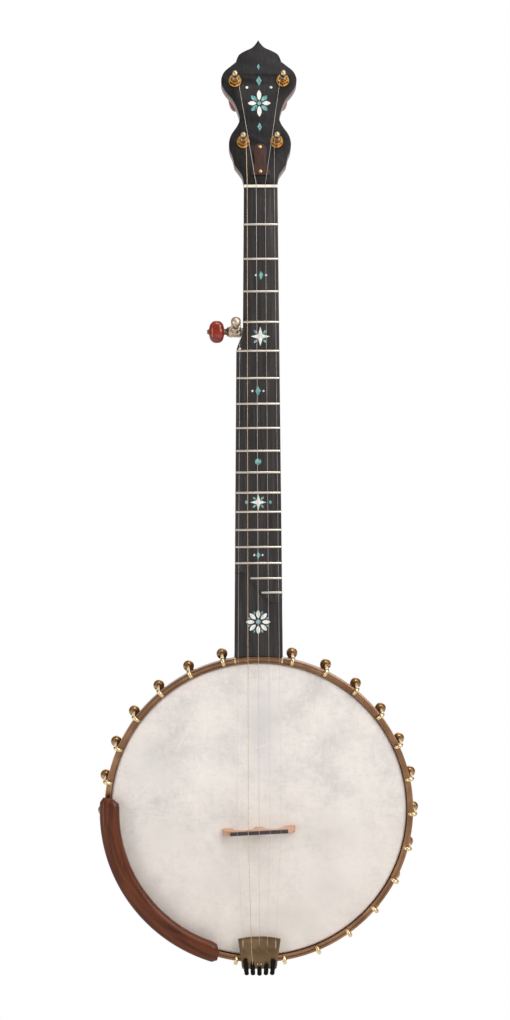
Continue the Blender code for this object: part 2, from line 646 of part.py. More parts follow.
def make_tail_hanger():
    """A bent strap from the rim, out round the hoop and in under the tailpiece, with two pins."""
    near = RIM_RADIUS + GAP
    far = HOOP_OUTER_RADIUS + 2 * GAP
    thick = HANGER_THICKNESS
    shelf = HOOP_FRONT + 2 * GAP
    tip = HOOP_OUTER_RADIUS - HOOP_WALL * 0.55
    side = [(near, -HANGER_FOOT), (near, -HANGER_JOG_START), (far, -HANGER_JOG_END), (far, shelf),
            (tip, shelf), (tip, shelf + thick), (far + thick * 0.6, shelf + thick),
            (far + thick, shelf + thick * 0.6), (far + thick, -HANGER_JOG_END - thick * 0.4),
            (near + thick, -HANGER_JOG_START - thick * 0.4), (near + thick, -HANGER_FOOT)]
    outward = POT_FRAME @ Matrix(((0, 0, 1, 0), (-1, 0, 0, 0), (0, 1, 0, 0), (0, 0, 0, 1)))
    outward = outward @ Matrix.Diagonal((1, 1, -1, 1))
    hanger = plate("tail_hanger", [side], -HANGER_WIDTH / 2, HANGER_WIDTH / 2, NICKEL, outward)
    stud_frame = (POT_FRAME @ Matrix.Translation((0, 0, -ROD_DEPTH)) @ Matrix.Rotation(math.pi / 2, 4, "X"))
    cut(hanger, cylinder("hanger_hole", STUD_HOLE_RADIUS, RIM_RADIUS - RIM_WALL, HOOP_OUTER_RADIUS,
                         NICKEL, stud_frame))
    pin_top = TAIL_UNDERSIDE + TAIL_THICKNESS + 0.0006
    for side_sign in (-1, 1):
        place = POT_FRAME @ Matrix.Translation((side_sign * HANGER_PIN_X, -HANGER_PIN_ORBIT, 0))
        join(hanger, cylinder(f"hanger_pin_{side_sign}", HANGER_PIN_RADIUS, shelf + thick / 2, pin_top,
                              NICKEL, place, sides=8))


def round_hole(x, y, radius, sides=10):
    return [(x + radius * math.cos(2 * math.pi * i / sides), y + radius * math.sin(2 * math.pi * i / sides))
            for i in range(sides)]


def make_tailpiece():
    """A tapered plate with five string slots. The sleeves lie on its rear part."""
    front = []
    for i in range(9):
        share = -1 + i / 4
        front.append((share * TAIL_FRONT_HALF_WIDTH, -TAIL_FRONT - TAIL_FRONT_BOW * share ** 2))
    wing, wing_top = TAIL_REAR_HALF_WIDTH + TAIL_WING, -TAIL_REAR + TAIL_WING_LENGTH
    outline = front + [(wing, wing_top), (wing - TAIL_WING / 2, -TAIL_REAR),
                       (TAIL_WING / 2 - wing, -TAIL_REAR), (-wing, wing_top)]
    half_slot = TAIL_SLOT_WIDTH / 2
    slots = [[(x - half_slot, -TAIL_SLOT_START), (x + half_slot, -TAIL_SLOT_START),
              (x + half_slot, -TAIL_SLOT_END), (x - half_slot, -TAIL_SLOT_END)] for x in TAIL_STRING_XS]
    pin_holes = [round_hole(side * HANGER_PIN_X, -HANGER_PIN_ORBIT, HANGER_PIN_RADIUS + 1.5 * GAP, 8)
                 for side in (-1, 1)]
    plate("tailpiece", [outline] + slots + pin_holes, TAIL_UNDERSIDE, TAIL_UNDERSIDE + TAIL_THICKNESS,
          AGED_BRONZE, POT_FRAME)


def bridge_outline():
    """Front view of the three-footed bridge: feet, two arches and the narrower top."""
    foot_inner = BRIDGE_BASE_HALF - BRIDGE_FOOT
    arch_centre = (foot_inner + BRIDGE_CENTRE_FOOT_HALF) / 2
    arch_half = (foot_inner - BRIDGE_CENTRE_FOOT_HALF) / 2
    arch = [(arch_centre + arch_half * math.cos(a), BRIDGE_ARCH * math.sin(a))
            for a in (math.radians(t) for t in range(180, -1, -30))]
    cap_low = BRIDGE_HEIGHT - BRIDGE_CAP
    right = arch + [(BRIDGE_BASE_HALF, 0.0), (BRIDGE_BASE_HALF, cap_low * 0.28),
                    (BRIDGE_TOP_HALF + 0.0045, cap_low * 0.68), (BRIDGE_TOP_HALF, cap_low)]
    right.append((BRIDGE_TOP_HALF, BRIDGE_HEIGHT))
    left = [(-x, height) for x, height in reversed(right)]
    return right + left


def make_bridge():
    upright = Matrix(((1, 0, 0, 0), (0, 0, -1, 0), (0, 1, 0, 0), (0, 0, 0, 1)))
    place = (POT_FRAME @ Matrix.Translation((0, -BRIDGE_BELOW_CENTRE, GAP))
             @ Matrix.Rotation(BRIDGE_SKEW, 4, "Z") @ upright)
    bridge = plate("bridge", [bridge_outline()], -BRIDGE_BASE_THICKNESS / 2, BRIDGE_BASE_THICKNESS / 2,
                   MAPLE, place)
    for vert in bridge.data.vertices:
        share = vert.co.y / BRIDGE_HEIGHT
        vert.co.z *= 1 - share * (1 - BRIDGE_TOP_THICKNESS / BRIDGE_BASE_THICKNESS)
    half_notch = BRIDGE_NOTCH_WIDTH / 2
    for number, x in enumerate(BRIDGE_STRING_XS, start=1):
        reach = BRIDGE_BASE_THICKNESS * 2
        notch_floor = BRIDGE_HEIGHT + GAP - BRIDGE_NOTCH_DEPTH
        low = (x - half_notch, -BRIDGE_BELOW_CENTRE - reach, notch_floor)
        high = (x + half_notch, -BRIDGE_BELOW_CENTRE + reach, BRIDGE_HEIGHT * 1.2)
        cut(bridge, box(f"bridge_notch_{number}", low, high, MAPLE, POT_FRAME))


def armrest_outline():
    """Two arcs about the pot's centre, the ends straight and every corner rounded."""
    inner, outer = ARMREST_INNER_RADIUS, ARMREST_OUTER_RADIUS
    sweep = ARMREST_END - ARMREST_START
    angles = [ARMREST_START + sweep * i / ARMREST_STEPS for i in range(ARMREST_STEPS + 1)]
    points = [(inner * math.sin(a), inner * math.cos(a)) for a in angles]
    points += [(outer * math.sin(a), outer * math.cos(a)) for a in reversed(angles)]
    last = len(points) - 1
    fillets = {0: ARMREST_INNER_FILLET, ARMREST_STEPS: ARMREST_INNER_FILLET,
               ARMREST_STEPS + 1: ARMREST_OUTER_FILLET, last: ARMREST_OUTER_FILLET}
    return rounded(points, fillets, 3)


ARMREST_BASE = HOOK_APEX + ARMREST_LIFT


def make_armrest():
    """A curved wooden rest above the hooks, held by two clamps that grip the hoop between them."""
    armrest = plate("armrest", [armrest_outline()], 0, ARMREST_THICKNESS, ARMREST_WOOD,
                    POT_FRAME @ Matrix.Translation((0, 0, ARMREST_BASE)))
    bm = bmesh.new()
    bm.from_mesh(armrest.data)
    top_edges = [edge for edge in bm.edges
                 if all(vert.co.z > ARMREST_THICKNESS * 0.4 for vert in edge.verts)
                 and any(abs(face.normal.z) < 0.5 for face in edge.link_faces)]
    bmesh.ops.bevel(bm, geom=top_edges, offset=ARMREST_EDGE_ROUND, segments=2, profile=0.6,
                    affect="EDGES", clamp_overlap=True)
    bm.to_mesh(armrest.data)
    bm.free()
    angles = bracket_angles()
    wall_in = HOOP_OUTER_RADIUS + 2 * GAP
    wall_out = wall_in + CLAMP_WALL
    jaw_top = HOOP_BACK - GAP
    jaw_tip = RIM_RADIUS + HEAD_COLLAR_CLEARANCE + FLESH_HOOP_WIDTH + 3 * GAP
    side = [(wall_out, ARMREST_BASE + ARMREST_THICKNESS / 3), (wall_out, jaw_top - CLAMP_JAW),
            (jaw_tip, jaw_top - CLAMP_JAW), (jaw_tip, jaw_top), (wall_in, jaw_top),
            (wall_in, ARMREST_BASE + ARMREST_THICKNESS / 3)]
    sideways = Matrix(((0, 0, 1, 0), (1, 0, 0, 0), (0, 1, 0, 0), (0, 0, 0, 1)))
    for span in ARMREST_CLAMP_SPANS:
        between = (angles[-span] + angles[-span - 1]) / 2
        place = POT_FRAME @ Matrix.Rotation(-between, 4, "Z") @ sideways
        join(armrest, plate(f"armrest_clamp_{span}", [side], -CLAMP_HALF_WIDTH, CLAMP_HALF_WIDTH,
                            AGED_BRASS, place))


def shaft_depth(distance):
    """Depth of the neck below the board: a slim shaft that sweeps down into the heel."""
    shaft = SHAFT_DEPTH_AT_NUT + (SHAFT_DEPTH_AT_HEEL - SHAFT_DEPTH_AT_NUT) * distance / HEEL_START
    sweep = min(1.0, max(0.0, (distance - HEEL_START) / (HEEL_FOOT - HEEL_START)))
    return shaft + (HEEL_DEPTH - shaft) * (1 - math.sqrt(1 - sweep ** 2.4)) ** 0.9


def neck_ring(bm, distance):
    """One D-shaped section across the neck, flat side under the board."""
    bass, treble = bass_edge(distance), treble_edge(distance)
    centre, half = (bass + treble) / 2, (treble - bass) / 2
    depth = shaft_depth(distance)
    ring = []
    for i in range(SHAFT_RING_STEPS + 1):
        angle = math.pi * i / SHAFT_RING_STEPS
        across = math.copysign(abs(math.cos(angle)) ** 0.85, math.cos(angle))
        ring.append(bm.verts.new((centre + half * across, -distance,
                                  NECK_TOP - depth * math.sin(angle) ** 0.9)))
    return ring


def headstock_outline():
    half = through(HEADSTOCK_CROWN, OUTLINE_STEPS)[:-1]
    half += through(HEADSTOCK_LOBES, OUTLINE_STEPS)[:-1]
    half += through(HEADSTOCK_EARS, OUTLINE_STEPS)
    return half + [(-x, y) for x, y in reversed(half[1:])]


TUNER_PLACES = ((LOWER_TUNER_X, LOWER_TUNER_Y), (UPPER_TUNER_X, UPPER_TUNER_Y),
                (-UPPER_TUNER_X, UPPER_TUNER_Y), (-LOWER_TUNER_X, LOWER_TUNER_Y))
FIFTH_WORM_FRAME = (NECK_FRAME @ Matrix.Translation((0, FIFTH_Y, FIFTH_Z))
                    @ Matrix.Rotation(math.pi / 2, 4, "Y"))
FIFTH_POST_FRAME = (NECK_FRAME @ Matrix.Translation((FIFTH_POST_X, FIFTH_Y, FIFTH_Z))
                    @ Matrix.Rotation(-FIFTH_POST_LEAN, 4, "X"))


def make_neck():
    """Shaft, heel and headstock core, bored for the tuners and for the coordinator rod."""
    foot = -POT_IN_NECK.y - RIM_RADIUS + RIM_WALL * 0.75
    stations = [-HEEL_OF_HEADSTOCK, 0.0, FIFTH_STEP_START / 3, FIFTH_STEP_START * 2 / 3]
    stations += [FIFTH_STEP_START + past for past in (-0.004, 0.004, 0.010, 0.016)]
    stations += [FIFTH_STEP_END, (FIFTH_STEP_END + HEEL_START) / 2, HEEL_START - 0.025]
    stations += [HEEL_START + (HEEL_FOOT - HEEL_START) * share
                 for share in (0.0, 0.25, 0.45, 0.62, 0.76, 0.88, 0.96, 1.0)]
    stations.append(max(foot, HEEL_FOOT + 0.004))
    bm = bmesh.new()
    rings = [neck_ring(bm, max(distance, 0.0)) for distance in stations]
    for vert in rings[0]:
        vert.co.y = -stations[0]
        vert.co.z = NECK_TOP - HEADSTOCK_DROP * 0.3 + (vert.co.z - NECK_TOP) * 0.75
    for ring, following in zip(rings, rings[1:]):
        count = len(ring)
        for i in range(count):
            j = (i + 1) % count
            bm.faces.new((ring[i], ring[j], following[j], following[i]))
    bm.faces.new(rings[0][::-1])
    bm.faces.new(rings[-1])
    bmesh.ops.recalc_face_normals(bm, faces=bm.faces)
    neck = smooth(from_bmesh(bm, "neck", WALNUT, NECK_FRAME))
    core_top = -VENEER_THICKNESS - GAP
    join(neck, plate("headstock_core", [headstock_outline()], core_top - HEADSTOCK_THICKNESS, core_top,
                     WALNUT, HEAD_FRAME))
    for number, (x, y) in enumerate(TUNER_PLACES, start=1):
        cut(neck, cylinder(f"neck_tuner_hole_{number}", TUNER_BARREL_RADIUS + GAP, -CUTTER_REACH, 0.01,
                           WALNUT, HEAD_FRAME @ Matrix.Translation((x, y, 0)), sides=12))
    cut(neck, pot_cylinder("neck_rim_clearance", RIM_RADIUS + GAP, -RIM_DEPTH - CUTTER_REACH, CUTTER_REACH))
    cut(neck, pot_cylinder("neck_hoop_clearance", HOOP_OUTER_RADIUS + GAP, HOOP_BACK - GAP, CUTTER_REACH))
    rod_frame = POT_FRAME @ Matrix.Translation((0, 0, -ROD_DEPTH)) @ Matrix.Rotation(-math.pi / 2, 4, "X")
    cut(neck, cylinder("heel_stud_hole", STUD_HOLE_RADIUS, RIM_RADIUS - CUTTER_REACH,
                       RIM_RADIUS + ROD_STUD_IN_HEEL + GAP, WALNUT, rod_frame))
    cut(neck, cylinder("fifth_shank_hole", FIFTH_SHANK_RADIUS + GAP, -0.06, FIFTH_SHANK_INNER_X + GAP, WALNUT,
                       FIFTH_WORM_FRAME, sides=12))
    cut(neck, cylinder("fifth_barrel_recess", FIFTH_BARREL_RADIUS + GAP, -0.06, FIFTH_BARREL_INNER_X + GAP,
                       WALNUT, FIFTH_WORM_FRAME, sides=16))


def scoop_edge(x):
    share = (x - SCOOP_BASS_X) / (SCOOP_TREBLE_X - SCOOP_BASS_X)
    return SCOOP_START + SCOOP_LENGTH * smooth_step(share)


def make_fingerboard():
    """The board with its frets, the fifth string's pip and the scoop below the frets."""
    distances = [0.0, FIFTH_STEP_START - 0.004]
    distances += [FIFTH_STEP_START + 0.002 + 0.004 * i for i in range(6)] + [FIFTH_STEP_END, BOARD_END + 0.01]
    outline = [(treble_edge(d), -d) for d in (distances[0], distances[-1])]
    outline += [(bass_edge(d), -d) for d in reversed(distances)]
    board = plate("fingerboard", [outline], -BOARD_THICKNESS, 0.0, EBONY, NECK_FRAME)
    for fret in range(1, FRET_COUNT + 1):
        distance = fret_distance(fret)
        bass, treble = bass_edge(distance) + FRET_END_INSET, treble_edge(distance) - FRET_END_INSET
        across = (NECK_FRAME @ Matrix.Translation((0, -distance, 0))
                  @ Matrix.Diagonal((1, 1, FRET_HEIGHT / (FRET_WIDTH / 2), 1))
                  @ Matrix.Rotation(math.pi / 2, 4, "Y") @ Matrix.Rotation(math.pi / 4, 4, "Z"))
        join(board, cylinder(f"fret_{fret:02d}", FRET_WIDTH / 2, bass, treble, NICKEL, across, sides=4))
    pip_place = NECK_FRAME @ Matrix.Translation((pip_x(), -PIP_DISTANCE, 0))
    join(board, cylinder("fifth_pip", PIP_RADIUS, -0.001, PIP_HEIGHT, BONE, pip_place, sides=8,
                         top_radius=PIP_RADIUS * 0.8))
    low_edge = [(SCOOP_BASS_X - 0.02, -BOARD_END - 0.03), (SCOOP_TREBLE_X + 0.02, -BOARD_END - 0.03)]
    curve = [(SCOOP_TREBLE_X + 0.02, -scoop_edge(SCOOP_TREBLE_X))]
    curve += [(x, -scoop_edge(x)) for x in
              [SCOOP_TREBLE_X + (SCOOP_BASS_X - SCOOP_TREBLE_X) * i / 12 for i in range(13)]]
    curve.append((SCOOP_BASS_X - 0.02, -scoop_edge(SCOOP_BASS_X)))
    cut(board, plate("scoop", [low_edge + curve], -SCOOP_DEPTH, 0.02, EBONY, NECK_FRAME))
    cut(board, pot_cylinder("board_end", HOOP_OUTER_RADIUS + GAP, -CUTTER_REACH, CUTTER_REACH))
    cut(board, cylinder("board_barrel_relief", FIFTH_BARREL_RADIUS + GAP, -0.06, FIFTH_BARREL_INNER_X + GAP,
                        EBONY, FIFTH_WORM_FRAME, sides=16))


def make_headstock_veneer():
    holes = [round_hole(x, y, TUNER_BARREL_RADIUS + GAP, 10) for x, y in TUNER_PLACES]
    plate("headstock_veneer", [headstock_outline()] + holes, -VENEER_THICKNESS, 0.0, EBONY, HEAD_FRAME)


def nut_string_x(number):
    """Strings 1 to 4 are spread evenly between the nut's edges."""
    share = (number - 1) / 3
    return NUT_TREBLE_X - STRING_EDGE_MARGIN + share * (NUT_BASS_X - NUT_TREBLE_X + 2 * STRING_EDGE_MARGIN)


def make_nut():
    nut = box("nut", (NUT_BASS_X, GAP, -BOARD_THICKNESS), (NUT_TREBLE_X, NUT_THICKNESS, NUT_PROUD),
              BONE, NECK_FRAME)
    bm = bmesh.new()
    bm.from_mesh(nut.data)
    back_top = [edge for edge in bm.edges
                if all(vert.co.z > 0 and vert.co.y > NUT_THICKNESS / 2 for vert in edge.verts)]
    bmesh.ops.bevel(bm, geom=back_top, offset=NUT_PROUD * 0.7, segments=2, affect="EDGES")
    bm.to_mesh(nut.data)
    bm.free()
    for number in range(1, 5):
        x = nut_string_x(number)
        radius = STRING_DIAMETERS[number - 1] / 2 + GAP
        low = (x - radius, -0.002, STRING_RISE_AT_NUT - radius)
        high = (x + radius, NUT_THICKNESS + 0.002, NUT_PROUD + 0.002)
        cut(nut, box(f"nut_slot_{number}", low, high, BONE, NECK_FRAME))


def make_truss_rod_cover():
    """A bell-shaped plate over the truss rod pocket, above the nut."""
    half = through(COVER_BELL, OUTLINE_STEPS)
    half.append((COVER_BELL[-1][0], COVER_FOOT_Y))
    outline = half + [(-x, y) for x, y in reversed(half[1:])]
    plate("truss_rod_cover", [outline], GAP, GAP + COVER_THICKNESS, ROSEWOOD, HEAD_FRAME)


def pip_x():
    """The fifth string runs in line with its bridge notch, just inside the board's edge."""
    return bass_edge(PIP_DISTANCE) + 0.0030


def make_post(name, frame, radius, waist, head_radius, low, top, string_height):
    """A string post: shank, waist at the string hole and a domed head."""
    dome = [(head_radius * math.cos(a), top - head_radius * 0.8 * (1 - math.sin(a)))
            for a in (math.radians(t) for t in (90, 60, 30, 0))]
    dome[0] = (0.0, top)
    half_waist = POST_WAIST_LENGTH / 2
    profile = dome + [(head_radius, string_height + POST_WAIST_LENGTH), (waist, string_height + half_waist),
                      (waist, string_height - half_waist), (radius, string_height - POST_WAIST_LENGTH),
                      (radius, low), (0.0, low)]
    post = turned(name, profile, NICKEL, frame, segments=8)
    hole = frame @ Matrix.Translation((0, 0, string_height)) @ Matrix.Rotation(math.pi / 2, 4, "X")
    cut(post, cylinder(f"{name}_string_hole", POST_HOLE_RADIUS, -0.01, 0.01, NICKEL, hole, sides=6))
    return post


def make_knob(name, frame, shaft_radius, shaft_length):
    """An oval knob on a flared neck. The frame's Z axis runs from the gear case to the knob."""
    knob_low = KNOB_NECK_LENGTH
    screw_top = knob_low + KNOB_LENGTH + KNOB_SCREW_HEIGHT
    profile = [(0.0, screw_top), (KNOB_SCREW_RADIUS, screw_top),
               (KNOB_SCREW_RADIUS, knob_low + KNOB_LENGTH / 2), (KNOB_NECK_RADIUS * 1.1, knob_low * 1.2),
               (KNOB_NECK_RADIUS * 0.7, knob_low * 0.6), (KNOB_NECK_RADIUS, GAP), (shaft_radius, GAP),
               (shaft_radius, -shaft_length), (0.0, -shaft_length)]
    core = turned(name, profile, AMBER, frame, segments=8)
    bm = bmesh.new()
    bmesh.ops.create_uvsphere(bm, u_segments=12, v_segments=8, radius=1.0)
    for vert in bm.verts:
        squared = [math.copysign(abs(c) ** KNOB_SQUARENESS, c) if abs(c) > 1e-6 else 0.0 for c in vert.co]
        vert.co = (squared[0] * KNOB_THICKNESS / 2, squared[1] * KNOB_WIDTH / 2,
                   squared[2] * KNOB_LENGTH / 2 + knob_low + KNOB_LENGTH / 2)
    grip = smooth(from_bmesh(bm, f"{name}_grip", AMBER, frame))
    join(core, grip)
    return core


def make_planetary_tuner(number):
    """Bushing, gear case, post and knob on one axis through the headstock."""
    x, y = TUNER_PLACES[number - 1]
    frame = HEAD_FRAME @ Matrix.Translation((x, y, 0))
    case_top = -VENEER_THICKNESS - HEADSTOCK_THICKNESS - 2 * GAP
    case_low = case_top - TUNER_CASE_LENGTH
    housing = turned(f"tuner_{number}_housing",
                     [(TUNER_BORE_RADIUS, TUNER_NUT_HEIGHT), (TUNER_BARREL_RADIUS, TUNER_NUT_HEIGHT),
                      (TUNER_BARREL_RADIUS, case_top), (TUNER_CASE_RADIUS, case_top),
                      (TUNER_CASE_RADIUS, case_low + 0.004), (TUNER_CASE_RADIUS * 0.7, case_low),
                      (TUNER_BORE_RADIUS, case_low)], NICKEL, frame, segments=10, closed=True)
    collar_hole = (TUNER_BORE_RADIUS + TUNER_BARREL_RADIUS) / 2
    collar = [round_hole(0, 0, TUNER_NUT_RADIUS, 6), round_hole(0, 0, collar_hole, 10)]
    join(housing, plate(f"tuner_{number}_collar", collar, GAP, TUNER_NUT_HEIGHT * 0.9, AGED_BRASS, frame))
    make_post(f"tuner_{number}_post", frame, POST_RADIUS, POST_WAIST_RADIUS, POST_RADIUS,
              case_low + TUNER_CASE_LENGTH * 0.6, POST_HEIGHT, POST_STRING_HEIGHT)
    knob_frame = (frame @ Matrix.Translation((0, 0, case_low)) @ Matrix.Rotation(math.pi, 4, "X")
                  @ Matrix.Rotation(KNOB_TURNS[number - 1], 4, "Z"))
    make_knob(f"tuner_{number}_knob", knob_frame, POST_RADIUS, TUNER_CASE_LENGTH * 0.45)


def make_fifth_tuner():
    """The geared tuner pressed into the neck beside the fifth fret."""
    housing = cylinder("tuner_5_housing", FIFTH_BARREL_RADIUS, FIFTH_BARREL_OUTER_X, FIFTH_BARREL_INNER_X,
                       NICKEL, FIFTH_WORM_FRAME)
    join(housing, cylinder("fifth_shank", FIFTH_SHANK_RADIUS, FIFTH_BARREL_INNER_X - 0.002, FIFTH_SHANK_INNER_X,
                           NICKEL, FIFTH_WORM_FRAME, sides=12),
         cylinder("fifth_boss", FIFTH_BOSS_RADIUS, 0.0, FIFTH_BOSS_TOP, NICKEL, FIFTH_POST_FRAME))
    cut(housing, cylinder("fifth_post_bore", FIFTH_BORE_RADIUS, FIFTH_BORE_FLOOR, FIFTH_BOSS_TOP + 0.01, NICKEL,
                          FIFTH_POST_FRAME, sides=12),
        cylinder("fifth_worm_bore", FIFTH_BORE_RADIUS, FIFTH_BARREL_OUTER_X - 0.01, FIFTH_BARREL_OUTER_X + 0.0035,
                 NICKEL, FIFTH_WORM_FRAME, sides=12))
    post = make_post("tuner_5_post", FIFTH_POST_FRAME, FIFTH_POST_RADIUS, FIFTH_POST_RADIUS * 0.85,
                     FIFTH_POST_HEAD_RADIUS, FIFTH_BORE_FLOOR + GAP, FIFTH_POST_TOP, FIFTH_STRING_HEIGHT)
    outward = (NECK_FRAME @ Matrix.Translation((FIFTH_BARREL_OUTER_X, FIFTH_Y, FIFTH_Z))
               @ Matrix.Rotation(-math.pi / 2, 4, "Y"))
    make_knob("tuner_5_knob", outward, FIFTH_POST_RADIUS, 0.0030)
    return post


def make_string(number):
    """One string from its sleeve at the tailpiece, over the bridge, to its post."""
    radius = STRING_DIAMETERS[number - 1] / 2
    tail_x = TAIL_STRING_XS[number - 1]
    over = TAIL_UNDERSIDE + TAIL_THICKNESS + GAP + radius
    under = TAIL_UNDERSIDE - GAP - radius
    sleeve_height = TAIL_UNDERSIDE + TAIL_THICKNESS + GAP + SLEEVE_DIAMETER / 2
    closed = Vector((SLEEVE_FRONT_XS[number - 1], SLEEVE_FRONTS[number - 1], sleeve_height))
    opening = Vector((SLEEVE_REAR_XS[number - 1], SLEEVE_REARS[number - 1], sleeve_height))
    if number == 4:
        closed, opening = opening, closed
    along = (opening - closed).normalized()
    pot_points = [(*closed, SLEEVE_DIAMETER * 0.42), (*(closed + along * 0.0005), SLEEVE_DIAMETER / 2),
                  (*(opening - along * 0.0010), SLEEVE_DIAMETER / 2),
                  (*(opening - along * 0.0003), SLEEVE_DIAMETER * 0.36), (*opening, radius)]
    if number != 4:
        pot_points.append((*(opening + along * 0.0006), radius))
        pot_points.append((opening.x, opening.y + 0.0006, under, radius))
        pot_points.append((tail_x, TAIL_SLOT_END - 0.0008, under, radius))
    pot_points.append((tail_x, TAIL_SLOT_START + 0.0008, over, radius))
    pot_points.append((tail_x, TAIL_FRONT - 0.0005, over, radius))
    pot_points.append((BRIDGE_STRING_XS[number - 1], BRIDGE_BELOW_CENTRE, BRIDGE_HEIGHT + GAP * 2 + radius,
                       radius))
    points = [POT_FRAME @ Vector((x, -down, height)) for x, down, height, _ in pot_points]
    radii = [size for *_, size in pot_points]
    if number == 5:
        pip = Vector((pip_x(), -PIP_DISTANCE, PIP_HEIGHT + GAP + radius))
        wrap = FIFTH_POST_RADIUS * 0.85 + GAP + radius
        end = FIFTH_POST_FRAME @ Vector((wrap, 0.0, FIFTH_STRING_HEIGHT))
        points += [NECK_FRAME @ pip, end]
    else:
        x = nut_string_x(number)
        wrap = (POST_WAIST_RADIUS + GAP + radius) * (-1 if number in (1, 2) else 1)
        post_x, post_y = TUNER_PLACES[number - 1]
        end = HEAD_FRAME @ Vector((post_x + wrap, post_y, POST_STRING_HEIGHT))
        points += [NECK_FRAME @ Vector((x, 0.0, STRING_RISE_AT_NUT)),
                   NECK_FRAME @ Vector((x, NUT_THICKNESS, STRING_RISE_AT_NUT)), end]
    radii += [radius] * (len(points) - len(radii))
    wire(f"string_{number}", points, radii, STRING_STEEL, Matrix.Identity(4))


make_rim()
make_tone_ring()
make_head()
make_tension_hoop()
make_brackets()
make_coordinator_rod()
make_tail_hanger()
make_tailpiece()
make_bridge()
make_armrest()
make_neck()
make_fingerboard()
make_headstock_veneer()
make_nut()
make_truss_rod_cover()
for tuner in range(1, 5):
    make_planetary_tuner(tuner)
make_fifth_tuner()
for string in range(1, 6):
    make_string(string)
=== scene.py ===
"""Open-back five-string banjo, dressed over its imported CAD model.

Everything is in metres in the model's own frame: +Z up the neck, the front of the head faces
-Y, and the origin is where the fingerboard meets the nut. The pieces come in the order in which
a maker puts the banjo together: pot, neck, headstock, tuners, strings.
"""
import math

import bmesh
import bpy
from mathutils import Matrix, Vector


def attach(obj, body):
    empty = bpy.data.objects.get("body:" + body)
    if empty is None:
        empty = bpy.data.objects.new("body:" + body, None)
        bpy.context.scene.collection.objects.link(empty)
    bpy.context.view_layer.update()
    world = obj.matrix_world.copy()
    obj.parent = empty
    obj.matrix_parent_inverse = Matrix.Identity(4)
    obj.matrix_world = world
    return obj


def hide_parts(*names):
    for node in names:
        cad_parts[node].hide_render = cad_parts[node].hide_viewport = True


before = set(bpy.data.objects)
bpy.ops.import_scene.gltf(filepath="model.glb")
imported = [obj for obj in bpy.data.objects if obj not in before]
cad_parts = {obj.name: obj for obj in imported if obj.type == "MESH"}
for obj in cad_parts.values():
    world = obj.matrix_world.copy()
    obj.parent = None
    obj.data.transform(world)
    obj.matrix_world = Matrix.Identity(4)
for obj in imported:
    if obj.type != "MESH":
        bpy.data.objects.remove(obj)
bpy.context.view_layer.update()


# --- Rim ------------------------------------------------------------------------------------
# The wall of the pot: thin walnut strips bent round a form, glued, turned true and oiled. Its
# rear edge has small chamfers, and the studs of the coordinator rod pass through it.

RIM_RADIUS, RIM_INNER = 0.1524, 0.1365
RIM_FRONT, RIM_BACK = -0.0075, -0.0715
RIM_CHAMFER = 0.0020
ROD_DEPTH = 0.0400
STUD_HOLE = 0.0036
POT_FORWARD, POT_UP = -0.0084576, -0.6450882


def shift(x, y, z):
    return Matrix.Translation((x, y, z))


def about(axis, degrees):
    return Matrix.Rotation(math.radians(degrees), 4, axis)


# The pot's own frame: its middle is the origin, Y runs up to the neck and Z comes out of the head.
POT = shift(0, POT_FORWARD, POT_UP) @ about("X", 90)


def nothing_selected():
    if bpy.context.object and bpy.context.object.mode != "OBJECT":
        bpy.ops.object.mode_set(mode="OBJECT")
    bpy.ops.object.select_all(action="DESELECT")


def pick(piece):
    nothing_selected()
    piece.select_set(True)
    bpy.context.view_layer.objects.active = piece


def fixed(piece, place=None):
    """Bake a piece's place, or the one given, into its mesh."""
    if place is not None:
        piece.matrix_world = place
    pick(piece)
    bpy.ops.object.transform_apply(location=True, rotation=True, scale=True)
    return piece


def outward(piece):
    """Turn the faces of a piece outward, and leave edit mode."""
    bpy.ops.mesh.select_all(action="SELECT")
    bpy.ops.mesh.normals_make_consistent(inside=False)
    bpy.ops.object.mode_set(mode="OBJECT")
    return piece


def draw(name, corners, closed=False):
    """Draw a line corner by corner from one vertex, and stay in edit mode."""
    nothing_selected()
    bpy.ops.mesh.primitive_plane_add(size=0.001)
    piece = bpy.context.object
    piece.name = piece.data.name = name
    bpy.ops.object.mode_set(mode="EDIT")
    bpy.ops.mesh.merge(type="CENTER")
    bpy.ops.transform.translate(value=corners[0])
    for before, after in zip(corners, corners[1:]):
        step = Vector(after) - Vector(before)
        bpy.ops.mesh.extrude_region_move(TRANSFORM_OT_translate={"value": step})
    bpy.ops.mesh.select_all(action="SELECT")
    if closed:
        bpy.ops.mesh.edge_face_add()
    return piece


def spun(name, profile, steps=144):
    """Spin a profile of (radius, height) corners round the height axis, and weld it."""
    piece = draw(name, [(radius, 0.0, height) for radius, height in profile])
    bpy.ops.mesh.spin(steps=steps, angle=2 * math.pi, center=(0, 0, 0), axis=(0, 0, 1))
    bpy.ops.mesh.select_all(action="SELECT")
    bpy.ops.mesh.remove_doubles(threshold=0.000002)
    return outward(piece)


def use(piece, kind, **settings):
    """Add a modifier to a piece and apply it at once."""
    pick(piece)
    modifier = piece.modifiers.new(kind.lower(), kind)
    for key, value in settings.items():
        setattr(modifier, key, value)
    bpy.ops.object.modifier_apply(modifier=modifier.name)
    return piece


def soften(piece, width, segments=2, angle=35):
    return use(piece, "BEVEL", width=width, segments=segments, limit_method="ANGLE",
               angle_limit=math.radians(angle), harden_normals=False, use_clamp_overlap=True)


def cut_away(piece, *cutters):
    for cutter in cutters:
        use(piece, "BOOLEAN", operation="DIFFERENCE", solver="EXACT", object=cutter)
        bpy.data.objects.remove(cutter, do_unlink=True)
    return piece


